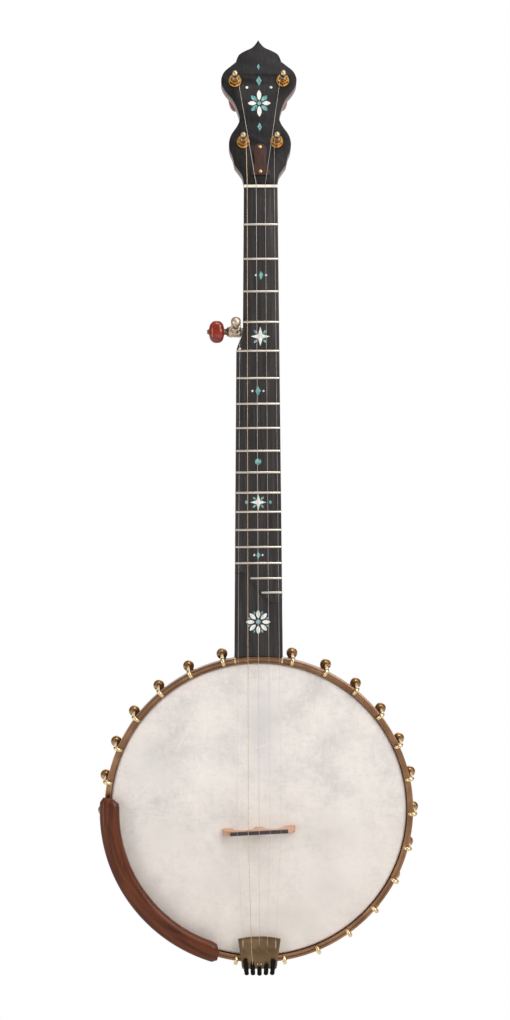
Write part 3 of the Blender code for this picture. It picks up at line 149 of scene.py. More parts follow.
def rod(name, radius, low, high, sides=32, top_radius=None):
    """A round or sided bar along Z, from low to high."""
    nothing_selected()
    bpy.ops.mesh.primitive_cone_add(vertices=sides, radius1=radius, depth=high - low,
                                    radius2=radius if top_radius is None else top_radius,
                                    location=(0, 0, (low + high) / 2))
    piece = bpy.context.object
    piece.name = piece.data.name = name
    bpy.ops.object.transform_apply(location=True, rotation=True, scale=True)
    return piece


def joined(first, *others):
    """Make several shells one piece."""
    pick(first)
    for other in others:
        other.select_set(True)
    bpy.ops.object.join()
    return first


def settle(piece, place, finish, body, *nodes, smooth=35):
    """Put a finished piece in its place with its material, and let it ride on its body."""
    fixed(piece, place)
    if smooth:
        bpy.ops.object.shade_smooth_by_angle(angle=math.radians(smooth))
    piece.data.materials.clear()
    piece.data.materials.append(finish.material)
    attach(piece, body)
    if nodes:
        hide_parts(*nodes)
    return piece


def colour(red, green, blue):
    """A photographed colour, 0 to 255, as the linear colour that a shader takes."""
    linear = [(c / 255 / 12.92) if c < 10.3 else ((c / 255 + 0.055) / 1.055) ** 2.4
              for c in (red, green, blue)]
    return (*linear, 1.0)


class Wire:
    """One shader socket, so that sums of sockets read as Python."""

    def __init__(self, finish, socket):
        self.finish, self.socket = finish, socket

    def sum(self, operation, *values):
        return self.finish.node("ShaderNodeMath", {"operation": operation}, dict(enumerate(values)))

    def __add__(self, other):
        return self.sum("ADD", self, other)

    __radd__ = __add__

    def __sub__(self, other):
        return self.sum("SUBTRACT", self, other)

    def __rsub__(self, other):
        return self.sum("SUBTRACT", other, self)

    def __mul__(self, other):
        return self.sum("MULTIPLY", self, other)

    __rmul__ = __mul__

    def __truediv__(self, other):
        return self.sum("DIVIDE", self, other)

    def __pow__(self, other):
        return self.sum("POWER", self, other)

    def between(self, low, high):
        """Stretch the values from low to high over 0 to 1."""
        return self.finish.node("ShaderNodeMapRange", {"clamp": True},
                                {"Value": self, "From Min": low, "From Max": high})


class Nodes:
    """A tree of shader nodes that is put together from patterns."""

    def __init__(self, tree):
        self.tree = tree

    def feed(self, target, value):
        if isinstance(value, Wire):
            self.tree.links.new(value.socket, target)
        else:
            target.default_value = value

    def node(self, kind, settings, values, output=0):
        node = self.tree.nodes.new(kind)
        for key, value in settings.items():
            if key == "stops":
                ramp = node.color_ramp.elements
                while len(ramp) < len(value):
                    ramp.new(0.5)
                for stop, (place, stop_colour) in zip(ramp, value):
                    stop.position, stop.color = place, stop_colour
            else:
                setattr(node, key, value)
        for key, value in values.items():
            self.feed(node.inputs[key], value)
        return Wire(self, node.outputs[output])

    def parts(self, vector):
        node = self.tree.nodes.new("ShaderNodeSeparateXYZ")
        self.feed(node.inputs[0], vector)
        return [Wire(self, socket) for socket in node.outputs]

    def vector(self, x, y, z):
        return self.node("ShaderNodeCombineXYZ", {}, {0: x, 1: y, 2: z})

    def noise(self, vector, scale=1.0, detail=3.0, roughness=0.55, warp=0.0, w=None):
        settings = {"noise_dimensions": "3D" if w is None else "4D"}
        values = {"Vector": vector, "Scale": scale, "Detail": detail, "Roughness": roughness,
                  "Distortion": warp}
        if w is not None:
            values["W"] = w
        return self.node("ShaderNodeTexNoise", settings, values)

    def ramp(self, factor, *stops):
        return self.node("ShaderNodeValToRGB", {"stops": stops}, {0: factor})

    def mixed(self, first, second, share):
        return self.node("ShaderNodeMix", {"data_type": "RGBA"}, {6: first, 7: second, 0: share}, 2)


class Finish(Nodes):
    """A Principled material."""

    def __init__(self, name, roughness=0.5, metallic=0.0, **sockets):
        self.material = bpy.data.materials.new(name)
        self.material.use_nodes = True
        super().__init__(self.material.node_tree)
        self.shader = self.tree.nodes["Principled BSDF"]
        self.set("Roughness", roughness)
        self.set("Metallic", metallic)
        for socket, value in sockets.items():
            self.set(socket.replace("_", " ").title().replace("Ior", "IOR"), value)

    def set(self, socket, value):
        self.feed(self.shader.inputs[socket], value)
        return self

    def coords(self):
        return self.node("ShaderNodeTexCoord", {}, {}, "Object")

    def pattern(self, scale, detail, roughness=0.55, warp=0.0, turn=(0, 0, 0), move=(0, 0, 0)):
        """Noise over the piece's own coordinates, finer where its scale is larger."""
        place = self.node("ShaderNodeMapping", {}, {"Vector": self.coords(), "Scale": scale,
                                                    "Rotation": turn, "Location": move})
        return self.noise(place, 1.0, detail, roughness, warp)

    def bump(self, height, distance, strength=1.0):
        normal = self.node("ShaderNodeBump", {}, {"Height": height, "Distance": distance,
                                                  "Strength": strength})
        return self.set("Normal", normal)


def round_grain(finish, run, layer, warp, ring, pore_run, pore_ring):
    """Grain and pores that follow the pot: slow round the ring, fine across it."""
    x, y, z = finish.parts(finish.coords())
    up = z - POT_UP
    radius = (x * x + up * up) ** 0.5
    across, along = x / radius, up / radius
    place = finish.vector(across * run, along * run, y * layer)
    fine_place = finish.vector(across * pore_run, along * pore_run, y * 900)
    return (finish.noise(place, 1.0, 5.0, 0.6, warp, w=radius * ring),
            finish.noise(fine_place, 1.0, 2.0, w=radius * pore_ring))


rim_walnut = Finish("oiled_rim_walnut", coat_weight=0.25, coat_roughness=0.25)
rim_dark, rim_light = colour(72, 46, 30), colour(122, 82, 54)
rim_grain, rim_pores = round_grain(rim_walnut, 1.6, 150, 0.25, 190, 22, 700)
rim_tone = rim_walnut.ramp(rim_grain, (0.28, rim_dark), (0.50, rim_light), (0.72, rim_dark))
rim_walnut.set("Base Color", rim_walnut.mixed(rim_tone, rim_dark,
                                              rim_pores.between(0.60, 0.75) * 0.6))
rim_walnut.set("Roughness", 0.38 + rim_pores * 0.18)
rim_walnut.bump(rim_pores, 0.00015, 0.5)
rim = spun("rim_turned", [
    (RIM_RADIUS, RIM_FRONT), (RIM_RADIUS, RIM_BACK + RIM_CHAMFER),
    (RIM_RADIUS - RIM_CHAMFER, RIM_BACK), (RIM_INNER + RIM_CHAMFER, RIM_BACK),
    (RIM_INNER, RIM_BACK + RIM_CHAMFER), (RIM_INNER, RIM_FRONT), (RIM_RADIUS, RIM_FRONT)], 160)
soften(rim, 0.0006, 2, 25)
stud_bore = rod("stud_bore", STUD_HOLE, -0.17, 0.17)
stud_bore.matrix_world = shift(0, 0, -ROD_DEPTH) @ about("X", 90)
cut_away(rim, stud_bore)
settle(rim, POT, rim_walnut, "instrument", "rim")


# --- Tone ring ------------------------------------------------------------------------------
# A rolled brass ring that sits on the rim. The head is stretched over its round crown, and its
# thin skirt shows from behind, inside the rim.

TONE_CROWN, TONE_ROUND, TONE_MIDDLE = 0.1490, 0.0030, -0.0038
TONE_SKIRT, TONE_WALL = 0.1362, 0.0012
TONE_SHELF, TONE_FOOT, TONE_END = -0.0056, -0.0072, -0.0132


def worn_metal(name, base, deep, bright, roughness, tarnish=0.3, scale=90.0):
    """Metal that has aged in the hand: soft clouds of tarnish, fine specks, uneven gloss."""
    finish = Finish(name, metallic=1.0)
    place = finish.coords()
    cloud = finish.noise(place, scale, 3.0, 0.5)
    speck = finish.noise(place, scale * 14, 2.0)
    tone = finish.mixed(base, deep, cloud.between(0.45, 0.80) * tarnish)
    tone = finish.mixed(tone, bright, (1 - cloud).between(0.50, 0.80) * 0.5)
    finish.set("Base Color", finish.mixed(tone, deep, speck.between(0.60, 0.76) * tarnish * 0.5))
    finish.set("Roughness", roughness + cloud * 0.12 + speck * 0.05)
    return finish.bump(speck, 0.00003, 0.25)


def arc(first, last, step):
    """Cosine and sine of the angles from first to last, in degrees."""
    turns = [math.radians(first + step * i) for i in range((last - first) // step + 1)]
    return [(math.cos(turn), math.sin(turn)) for turn in turns]


ring_brass = worn_metal("ring_brass", colour(224, 184, 124), colour(140, 102, 60),
                        colour(244, 216, 164), 0.20)
crown = [(TONE_CROWN + TONE_ROUND * c, TONE_MIDDLE + TONE_ROUND * s) for c, s in arc(180, 0, -15)]
tone_ring = spun("tone_ring_rolled", crown + [
    (TONE_CROWN + TONE_ROUND, TONE_FOOT), (TONE_SKIRT, TONE_FOOT), (TONE_SKIRT, TONE_END),
    (TONE_SKIRT - TONE_WALL, TONE_END), (TONE_SKIRT - TONE_WALL, TONE_SHELF),
    (TONE_CROWN - TONE_ROUND, TONE_SHELF), crown[0]])
soften(tone_ring, 0.0003, 2, 40)
settle(tone_ring, POT, ring_brass, "instrument", "tone_ring")


# --- Head -----------------------------------------------------------------------------------
# A skin stretched over the tone ring and pulled down by its flesh hoop. It has dried to a cloudy
# off-white with faint creases, and it is slightly worn where the hand rests. Painted shade
# darkens its edge beside the hoop.

BEND, BEND_DEPTH, SKIN_SIDE, SKIN_THICK = 0.1518, -0.0026, 0.1545, 0.0005
FLESH_INNER, FLESH_OUTER, FLESH_FRONT, FLESH_BACK = 0.1528, 0.1562, -0.0080, -0.0115
skin = Finish("cloudy_skin", roughness=0.55, sheen_weight=0.05)
skin_place = skin.coords()
cloud = skin.noise(skin_place, 27.0, 8.0, 0.68)
fibre_a = skin.pattern((70, 90, 190), 6.0, 0.7, 1.1, (0, math.radians(-38), 0))
fibre_b = skin.pattern((230, 90, 90), 6.0, 0.7, 1.1, (0, math.radians(18), 0), (3, 0, 0))
fibre = (fibre_a + fibre_b) * 0.5
fleck = skin.noise(skin_place, 620.0, 3.0, 0.6)
skin_x, _, skin_z = skin.parts(skin_place)
skin_up = skin_z - POT_UP
mottle = cloud * 0.56 + fibre * 0.44
skin_tone = skin.ramp(mottle, (0.37, colour(206, 200, 195)), (0.455, colour(221, 214, 208)),
                      (0.53, colour(231, 223, 216)), (0.64, colour(238, 232, 225)))
# The skin turns warmer and a little darker towards the bottom.
skin_tone = skin.mixed(skin_tone, colour(220, 207, 195), (0.05 - skin_up).between(0.0, 0.18) * 0.36)


def smudge(tone, x, up, wide, tall, shade, strength):
    """A stain on the skin, ragged at its edge."""
    across, along = (skin_x - x) / wide, (skin_up - up) / tall
    near = 1 - (across * across + along * along) ** 0.5
    return skin.mixed(tone, shade, (near + fibre * 3.0 + cloud - 2.0).between(0.0, 1.2) * strength)


for *spread, shade, strength in ((0.004, 0.098, 0.024, 0.040, (188, 190, 194), 0.55),
                                 (0.002, 0.062, 0.018, 0.030, (200, 196, 198), 0.45),
                                 (-0.112, 0.046, 0.030, 0.036, (196, 194, 192), 0.40),
                                 (0.074, -0.026, 0.034, 0.022, (200, 192, 184), 0.40),
                                 (0.036, -0.114, 0.034, 0.020, (200, 190, 180), 0.40),
                                 (0.070, -0.082, 0.026, 0.030, (202, 196, 192), 0.40),
                                 (-0.096, -0.026, 0.030, 0.022, (204, 198, 192), 0.35),
                                 (-0.040, -0.076, 0.034, 0.018, (206, 200, 194), 0.35)):
    skin_tone = smudge(skin_tone, *spread, colour(*shade), strength)


def scratch(tone, x, up, tilt, length):
    """A faint pale line where the hide was scraped."""
    across, along = skin_x - x, skin_up - up
    run = across * math.cos(tilt) + along * math.sin(tilt)
    off = along * math.cos(tilt) - across * math.sin(tilt) - run * run * 4.0 + fibre * 0.0016 - 0.0008
    thin = (1 - (off * off) ** 0.5 / 0.0012).between(0.0, 1.0)
    fading = (1 - (run * run) ** 0.5 / length).between(0.0, 0.6)
    return skin.mixed(tone, colour(244, 240, 234), thin * fading * 0.38)


for x, up, tilt, length in ((0.006, 0.068, 20, 0.012), (-0.124, 0.018, 42, 0.022),
                            (-0.078, 0.076, 62, 0.016)):
    skin_tone = scratch(skin_tone, x, up, math.radians(tilt), length)
# Painted shade: the skin is darkened to a warm brown at its edge, where it runs under the hoop.
skin_radius = (skin_x * skin_x + skin_up * skin_up) ** 0.5
skin_tone = skin.mixed(skin_tone, colour(204, 188, 170), skin_radius.between(0.1520, 0.1550) * 0.5)
skin.set("Base Color", skin.mixed(skin_tone, colour(208, 200, 192),
                                  fleck.between(0.55, 0.75) * 0.35))
skin.set("Roughness", 0.48 + fleck * 0.2)
skin.bump(fleck * 0.5 + fibre * 0.5, 0.00006, 0.35)

bend_out = [(BEND + 0.0027 * s, BEND_DEPTH + 0.0026 * c) for c, s in arc(0, 90, 15)]
bend_in = [(BEND + 0.0022 * s, BEND_DEPTH + 0.0021 * c) for c, s in arc(90, 0, -15)]
front_face = [(radius, 0.0) for radius in (0.0, 0.02, 0.05, 0.08, 0.11, 0.135)]
flesh_hoop = [(SKIN_SIDE, FLESH_FRONT), (FLESH_OUTER, FLESH_FRONT), (FLESH_OUTER, FLESH_BACK),
              (FLESH_INNER, FLESH_BACK)]
rear_face = [(radius, -SKIN_THICK) for radius in (0.11, 0.05, 0.0)]
head = spun("head_skin", front_face + bend_out + flesh_hoop + bend_in + rear_face, 160)
settle(head, POT, skin, "instrument", "head", smooth=50)


# --- Tension hoop ---------------------------------------------------------------------------
# A cast hoop with a groove in its front edge for the hooks, and a notch for each claw. It presses
# the flesh hoop down the outside of the rim. The metal has gone brown, and is bright in patches.

HOOP_INNER, HOOP_OUTER = 0.1549, 0.1610
HOOP_FRONT, HOOP_BACK = 0.0030, -0.0118
HOOP_SHELF, HOOP_SKIRT = -0.0077, 0.1565
GROOVE_INNER, GROOVE_OUTER, GROOVE_FLOOR = 0.1556, 0.1588, 0.0012
aged_bronze = worn_metal("browned_hoop_bronze", colour(152, 114, 86), colour(98, 68, 48),
                         colour(200, 160, 126), 0.24, 0.45, 45.0)
hoop = spun("tension_hoop_grooved", [
    (GROOVE_OUTER, HOOP_FRONT), (HOOP_OUTER, HOOP_FRONT - 0.0004), (HOOP_OUTER, HOOP_BACK),
    (HOOP_SKIRT, HOOP_BACK), (HOOP_SKIRT, HOOP_SHELF), (HOOP_INNER, HOOP_SHELF),
    (HOOP_INNER, HOOP_FRONT - 0.0005),
    (HOOP_INNER + 0.0003, HOOP_FRONT - 0.0002), (GROOVE_INNER, HOOP_FRONT - 0.0002),
    (GROOVE_INNER, GROOVE_FLOOR), (GROOVE_OUTER, GROOVE_FLOOR), (GROOVE_OUTER, HOOP_FRONT)], 180)
CLAW_TURN = 8.85
for turn in (CLAW_TURN, -CLAW_TURN):
    notch = rod("claw_notch", 0.00245, 0.0013, 0.0060, 4)
    notch.scale.y = 1.4
    notch.rotation_euler.z = math.pi / 4
    fixed(notch)
    notch.matrix_world = about("Z", turn) @ shift(0, 0.1605, 0)
    cut_away(hoop, notch)
soften(hoop, 0.00030, 2, 25)
settle(hoop, POT, aged_bronze, "instrument", "tension_hoop")


# --- Tension brackets -----------------------------------------------------------------------
# Each is a brass ball shoe bolted to the rim, a hook that passes through the ball and over the
# hoop into its groove, and a closed nut behind the ball that draws the hook back.

BALL_ORBIT = 0.1637
BALL_DEPTH = 0.0385
BALL_RADIUS = 0.0059
HOOK_TIP_ORBIT = 0.1569
HOOK_BEND_START = 0.0033
SIDE_COUNT = 13
FIRST_ANGLE, LAST_ANGLE, RING_TURN = 13.0, 170.9, -0.36
shoe_brass = worn_metal("ball_shoe_brass", colour(176, 134, 88), colour(98, 68, 40),
                        colour(232, 192, 144), 0.15, 0.45, 130.0)
hook_brass = worn_metal("hook_brass", colour(226, 200, 154), colour(160, 124, 80),
                        colour(250, 236, 206), 0.17, 0.25, 160.0)


def bent_wire(name, points, radii, sides=12):
    """A round wire along its points, closed at both ends, as a mesh."""
    nothing_selected()
    bpy.ops.curve.primitive_bezier_curve_add()
    piece = bpy.context.object
    piece.name = piece.data.name = name
    piece.data.splines.clear()
    line = piece.data.splines.new("POLY")
    line.points.add(len(points) - 1)
    for point, place, radius in zip(line.points, points, radii):
        point.co, point.radius = (*place, 1.0), radius
    piece.data.bevel_depth = 1.0
    piece.data.bevel_resolution = sides // 2 - 2
    piece.data.use_fill_caps = True
    bpy.ops.object.convert(target="MESH")
    bpy.ops.object.mode_set(mode="EDIT")
    bpy.ops.mesh.select_all(action="SELECT")
    bpy.ops.mesh.remove_doubles(threshold=0.0000005)
    return outward(piece)


def ball(name, radius, place, segments=24, rings=14, stretch=(1, 1, 1)):
    nothing_selected()
    bpy.ops.mesh.primitive_uv_sphere_add(segments=segments, ring_count=rings, radius=radius,
                                         location=place)
    piece = bpy.context.object
    piece.name = piece.data.name = name
    piece.scale = stretch
    bpy.ops.object.transform_apply(location=True, rotation=True, scale=True)
    return piece


bend_middle = (BALL_ORBIT + HOOK_TIP_ORBIT) / 2
bend_radius = (BALL_ORBIT - HOOK_TIP_ORBIT) / 2
hook_line = [(0, BALL_ORBIT, -0.0440), (0, BALL_ORBIT, -0.0100), (0, BALL_ORBIT, -0.0010)]
hook_line += [(0, bend_middle + bend_radius * c, HOOK_BEND_START + bend_radius * s)
              for c, s in arc(0, 180, 20)]
hook_line.append((0, HOOK_TIP_ORBIT, 0.0015))
hook = bent_wire("hook", hook_line, [0.0016] * 12 + [0.0014, 0.0013], 12)
for vert in hook.data.vertices:
    flat = min(1.0, max(0.0, (vert.co.z + 0.006) / 0.008))
    vert.co.x *= 1 + 0.30 * flat
shoe = ball("ball_shoe", BALL_RADIUS, (0, BALL_ORBIT, -BALL_DEPTH))
collar = spun("ball_shoe_lip", [(0.0018, 0.0062), (0.0030, 0.0061), (0.0034, 0.0056),
                                (0.0034, 0.0044), (0.0018, 0.0044)], 20)
neck_of_shoe = spun("ball_shoe_neck", [
    (0.0, 0.0), (0.0046, 0.0), (0.0046, 0.0010), (0.0036, 0.0022), (0.0031, 0.0040),
    (0.0034, 0.0072), (0.0, 0.0072)], 24)
fixed(collar, shift(0, BALL_ORBIT, -BALL_DEPTH))
fixed(neck_of_shoe, shift(0, RIM_RADIUS + 0.0003, -BALL_DEPTH) @ about("X", -90))
shoe = joined(shoe, collar, neck_of_shoe)
shoe_back = -BALL_DEPTH - BALL_RADIUS
nut_low = shoe_back - 0.0110
hook_nut = rod("hook_nut", 0.0040, nut_low + 0.0016, shoe_back + 0.0006, 6)
soften(hook_nut, 0.0005, 2, 30)
nut_cap = ball("hook_nut_cap", 0.0032, (0, 0, nut_low + 0.0018), 18, 10, (1, 1, 0.55))
nut_skirt = rod("hook_nut_skirt", 0.0043, shoe_back - 0.0014, shoe_back, 24)
soften(nut_skirt, 0.0003, 2, 30)
hook_nut = joined(hook_nut, nut_cap, nut_skirt)
fixed(hook_nut, shift(0, BALL_ORBIT, 0))
inner_bolt = rod("shoe_bolt", 0.0052, RIM_INNER - 0.0034, RIM_INNER - 0.0004, 6)
soften(inner_bolt, 0.0005, 2, 30)
bolt_washer = rod("shoe_bolt_washer", 0.0062, RIM_INNER - 0.0010, RIM_INNER + 0.0002, 28)
inner_bolt = joined(inner_bolt, bolt_washer)
fixed(inner_bolt, shift(0, 0, -BALL_DEPTH) @ about("X", -90))

treble_side = [FIRST_ANGLE + (LAST_ANGLE - FIRST_ANGLE) / (SIDE_COUNT - 1) * i
               for i in range(SIDE_COUNT)]
bracket_angles = [a + RING_TURN for a in treble_side + [-a for a in reversed(treble_side)]]
for number, angle in enumerate(bracket_angles, start=1):
    turned = POT @ about("Z", -angle)
    for pattern, word, metal in ((hook, "hook", hook_brass), (shoe, "ball_shoe", shoe_brass),
                                 (hook_nut, "hook_nut", shoe_brass),
                                 (inner_bolt, "shoe_bolt", ring_brass)):
        one = bpy.data.objects.new(f"{word}_{number:02d}", pattern.data.copy())
        bpy.context.scene.collection.objects.link(one)
        nodes = [f"bracket_{number:02d}"] if word == "ball_shoe" else []
        settle(one, turned, metal, "instrument", *nodes, smooth=40)
for pattern in (hook, shoe, hook_nut, inner_bolt):
    bpy.data.objects.remove(pattern, do_unlink=True)


# --- Coordinator rod, tail hanger and claws -------------------------------------------------
# A steel rod crosses the pot behind the head and ties the heel to the tail of the rim. Its tail
# stud also holds the bent strap that pulls the tailpiece back. Two flat brass claws, each held by
# a screw, take the place of brackets in the hoop's notches beside the neck.

nickel = worn_metal("warm_worn_nickel", colour(200, 182, 162), colour(140, 120, 98),
                    colour(218, 204, 190), 0.33, 0.08, 45.0)
ALONG_ROD = POT @ shift(0, 0, -ROD_DEPTH) @ about("X", -90)
ROD_END = 0.1354
rod_body = spun("rod_body", [
    (0.0, 0.1740), (0.0032, 0.1740), (0.0032, ROD_END), (0.0048, ROD_END), (0.0048, -ROD_END),
    (0.0032, -ROD_END), (0.0032, -0.1620), (0.0, -0.1620)], 32)
rod_nuts = []
for nut_name, low, high, across in (("neck_nut", ROD_END - 0.0060, ROD_END, 0.0085),
                                    ("tail_nut", -ROD_END, -ROD_END + 0.0060, 0.0085),
                                    ("hanger_nut", -0.1610, -0.1552, 0.0064)):
    rod_nut = rod(nut_name, across, low, high, 6)
    soften(rod_nut, 0.0006, 2, 30)
    rod_nuts.append(rod_nut)
settle(joined(rod_body, *rod_nuts), ALONG_ROD, nickel, "instrument", "coordinator_rod")


def plate(name, outline, low, high):
    """A flat outline drawn corner by corner, filled and extruded from low to high."""
    piece = draw(name, [(x, y, low) for x, y in outline], closed=True)
    bpy.ops.mesh.select_all(action="SELECT")
    bpy.ops.mesh.extrude_region_move(TRANSFORM_OT_translate={"value": (0, 0, high - low)})
    return outward(piece)


# A side view drawn in X and Y is stood up with its X towards the neck, or towards the tail.
SIDE_UP = Matrix(((0, 0, 1, 0), (1, 0, 0, 0), (0, 1, 0, 0), (0, 0, 0, 1)))
SIDE_DOWN = Matrix(((0, 0, 1, 0), (-1, 0, 0, 0), (0, 1, 0, 0), (0, 0, 0, 1)))
HANGER_SIDE = [(0.1527, -0.0520), (0.1527, -0.0290), (0.1616, -0.0165), (0.1616, 0.0036),
               (0.15715, 0.0036), (0.15715, 0.0056), (0.1628, 0.0056), (0.1636, 0.0048),
               (0.1636, -0.0173), (0.1547, -0.0298), (0.1547, -0.0520)]
hanger = plate("tail_hanger_strap", HANGER_SIDE, -0.0060, 0.0060)
soften(hanger, 0.0005, 2, 20)
fixed(hanger, SIDE_DOWN)
bpy.ops.object.mode_set(mode="EDIT")
outward(hanger)
PIN_PLACES = [shift(side * 0.0019, -0.1612, 0) for side in (-1, 1)]
pins = [fixed(soften(rod("hanger_pin", 0.0010, 0.0046, 0.0099, 16), 0.0004, 3, 40), place)
        for place in PIN_PLACES]
settle(joined(hanger, *pins), POT, nickel, "instrument", "tail_hanger")

claw_side = [
    (0.1561, 0.0014), (0.1561, 0.0030), (0.1564, 0.0034), (0.1616, 0.0034), (0.1623, 0.0027),
    (0.1623, -0.0165), (0.1543, -0.0250), (0.1543, -0.0420), (0.1528, -0.0420), (0.1528, -0.0243),
    (0.1613, -0.0158), (0.1613, 0.0020), (0.1575, 0.0020), (0.1575, 0.0014)]
for number, turn in enumerate((CLAW_TURN, -CLAW_TURN), start=1):
    claw = plate(f"neck_claw_{number}", claw_side, -0.0009, 0.0009)
    soften(claw, 0.0003, 2, 20)
    claw_screw = spun("claw_screw", [(0.0, 0.0017), (0.0012, 0.0015), (0.0020, 0.0009),
                                     (0.0022, 0.0), (0.0, 0.0)], 20)
    fixed(claw, SIDE_UP)
    fixed(claw_screw, shift(0, 0.1542, -BALL_DEPTH) @ about("X", -90))
    settle(joined(claw, claw_screw), POT @ about("Z", turn), hook_brass, "instrument")


# --- Tailpiece ------------------------------------------------------------------------------
# A tapered brass plate, gone dull, with its front edge rolled. Four strings come up through its
# slots, and two pins of the hanger stand through it. The strings' sleeves lie on its rear part.

TAIL_LOW, TAIL_TOP = 0.0077, 0.0093
TAIL_SPACING = 0.00855
dull_brass = worn_metal("dull_tail_brass", colour(122, 98, 72), colour(84, 64, 44),
                        colour(160, 134, 100), 0.28, 0.4, 70.0)
tail_outline = []
for i in range(17):
    share = -1 + i / 8
    tail_outline.append((share * 0.0222, -0.1325 - 0.0026 * share ** 2))
tail_outline += [(0.0189, -0.1590), (0.0184, -0.1640), (0.0176, -0.1662), (-0.0176, -0.1662),
                 (-0.0184, -0.1640), (-0.0189, -0.1590)]
tailpiece = plate("tailpiece_plate", tail_outline, TAIL_LOW, TAIL_TOP)
slot_cutters = []
for i in range(5):
    x = (2 - i) * TAIL_SPACING
    slot = plate("slot", [
        (x - 0.0005, -0.1372), (x - 0.0003, -0.1366), (x + 0.0003, -0.1366), (x + 0.0005, -0.1372),
        (x + 0.0005, -0.1448), (x + 0.0003, -0.1454), (x - 0.0003, -0.1454),
        (x - 0.0005, -0.1448)], 0.0060, 0.0110)
    slot_cutters.append(slot)
slot_cutters += [fixed(rod("pin_hole", 0.00145, 0.0060, 0.0110, 16), place) for place in PIN_PLACES]
cut_away(tailpiece, *slot_cutters)
soften(tailpiece, 0.0003, 2, 50)
edge_line = [(x, y + 0.0003, TAIL_TOP - 0.0002) for x, y in tail_outline[:17]]
rolled_edge = bent_wire("rolled_edge", edge_line, [0.0006] * len(edge_line), 10)
settle(joined(tailpiece, rolled_edge), POT, dull_brass, "instrument", "tailpiece")


# --- Bridge ---------------------------------------------------------------------------------
# Three maple feet under two arches, thinner towards the top, with a dark cap that the strings
# cross in small notches. It stands on the head a little askew, as it is set for the tuning.

BRIDGE_UNDER_CENTRE = 0.0215
BRIDGE_HEIGHT, BRIDGE_HALF, BRIDGE_THINNING = 0.0160, 0.0036, 0.528
BRIDGE_SPACING = 0.0114
CAP = 0.0032
maple = Finish("bare_maple", coat_weight=0.15, coat_roughness=0.3)
maple_grain = maple.pattern((18, 260, 260), 4.0, 0.6, 0.3)
maple_fleck = maple.pattern((500, 900, 200), 2.0)
maple_tone = maple.ramp(maple_grain, (0.30, colour(180, 130, 98)), (0.55, colour(204, 158, 130)),
                        (0.75, colour(228, 190, 156)))
maple.set("Base Color", maple.mixed(maple_tone, colour(170, 118, 82),
                                    maple_fleck.between(0.62, 0.78) * 0.5))
maple.set("Roughness", 0.42 + maple_grain * 0.15)
maple.bump(maple_fleck, 0.00005, 0.4)
cap_ebony = Finish("cap_ebony", coat_weight=0.3, coat_roughness=0.2)
cap_grain = cap_ebony.pattern((30, 600, 600), 3.0)
cap_ebony.set("Base Color", cap_ebony.ramp(cap_grain, (0.3, colour(36, 28, 27)),
                                           (0.7, colour(66, 50, 46))))
cap_ebony.set("Roughness", 0.34 + cap_grain * 0.15)

ARCH_IN, ARCH_OUT, ARCH_HEIGHT = 0.0042, 0.0272, 0.0090
arch_centre, arch_half = (ARCH_OUT + ARCH_IN) / 2, (ARCH_OUT - ARCH_IN) / 2
cap_low = BRIDGE_HEIGHT - CAP
right = [(arch_centre + arch_half * c, ARCH_HEIGHT * s) for c, s in arc(180, 0, -15)]
right += [(0.0378, 0.0), (0.0380, 0.0003), (0.0380, 0.0030), (0.0371, 0.0052), (0.0350, 0.0080),
          (0.0318, 0.0108), (0.0303, cap_low)]
left = [(-x, height) for x, height in reversed(right)]
bridge = plate("bridge_maple", right + left, -BRIDGE_HALF, BRIDGE_HALF)
cap = plate("bridge_cap", [(-0.0303, cap_low), (0.0303, cap_low), (0.0300, BRIDGE_HEIGHT),
                           (-0.0300, BRIDGE_HEIGHT)], -BRIDGE_HALF, BRIDGE_HALF)
ON_EDGE = Matrix(((1, 0, 0, 0), (0, 0, -1, 0), (0, 1, 0, 0), (0, 0, 0, 1)))
upright = POT @ shift(0, -BRIDGE_UNDER_CENTRE, 0.0003) @ about("Z", 2.7) @ ON_EDGE
cut_away(cap, *[fixed(rod("string_notch", 0.0006, -0.0100, 0.0100, 16),
                      shift((2 - i) * BRIDGE_SPACING, BRIDGE_HEIGHT, 0)) for i in range(5)])
for piece in (bridge, cap):
    for vert in piece.data.vertices:
        vert.co.z *= 1 - vert.co.y / BRIDGE_HEIGHT * BRIDGE_THINNING
soften(bridge, 0.0006, 3, 40)
soften(cap, 0.0003, 2, 50)
settle(bridge, upright, maple, "instrument", "bridge")
settle(cap, upright, cap_ebony, "instrument")


# --- Armrest --------------------------------------------------------------------------------
# A curved piece of dark red wood over the hooks, domed on top and polished by the arm. Two
# brass clamps grip the hoop between the hooks.

ARM_INNER, ARM_OUTER = 0.1450, 0.1655
ARM_START, ARM_END = math.radians(-84.4), math.radians(-164.2)
ARM_BASE, ARM_THICK = 0.0093, 0.0085
arm_wood = Finish("dark_red_armrest", coat_weight=0.12, coat_roughness=0.10,
                  specular_ior_level=0.15)
arm_grain, arm_pores = round_grain(arm_wood, 3.2, 120, 0.5, 210, 30, 900)
arm_tone = arm_wood.ramp(arm_grain, (0.28, colour(58, 27, 15)), (0.46, colour(84, 42, 24)),
                         (0.62, colour(104, 55, 31)), (0.78, colour(72, 35, 19)))
arm_wood.set("Base Color", arm_wood.mixed(arm_tone, colour(50, 23, 14),
                                          arm_pores.between(0.60, 0.75) * 0.5))
arm_wood.set("Roughness", 0.26 + arm_pores * 0.12)
arm_wood.bump(arm_pores, 0.00005, 0.3)

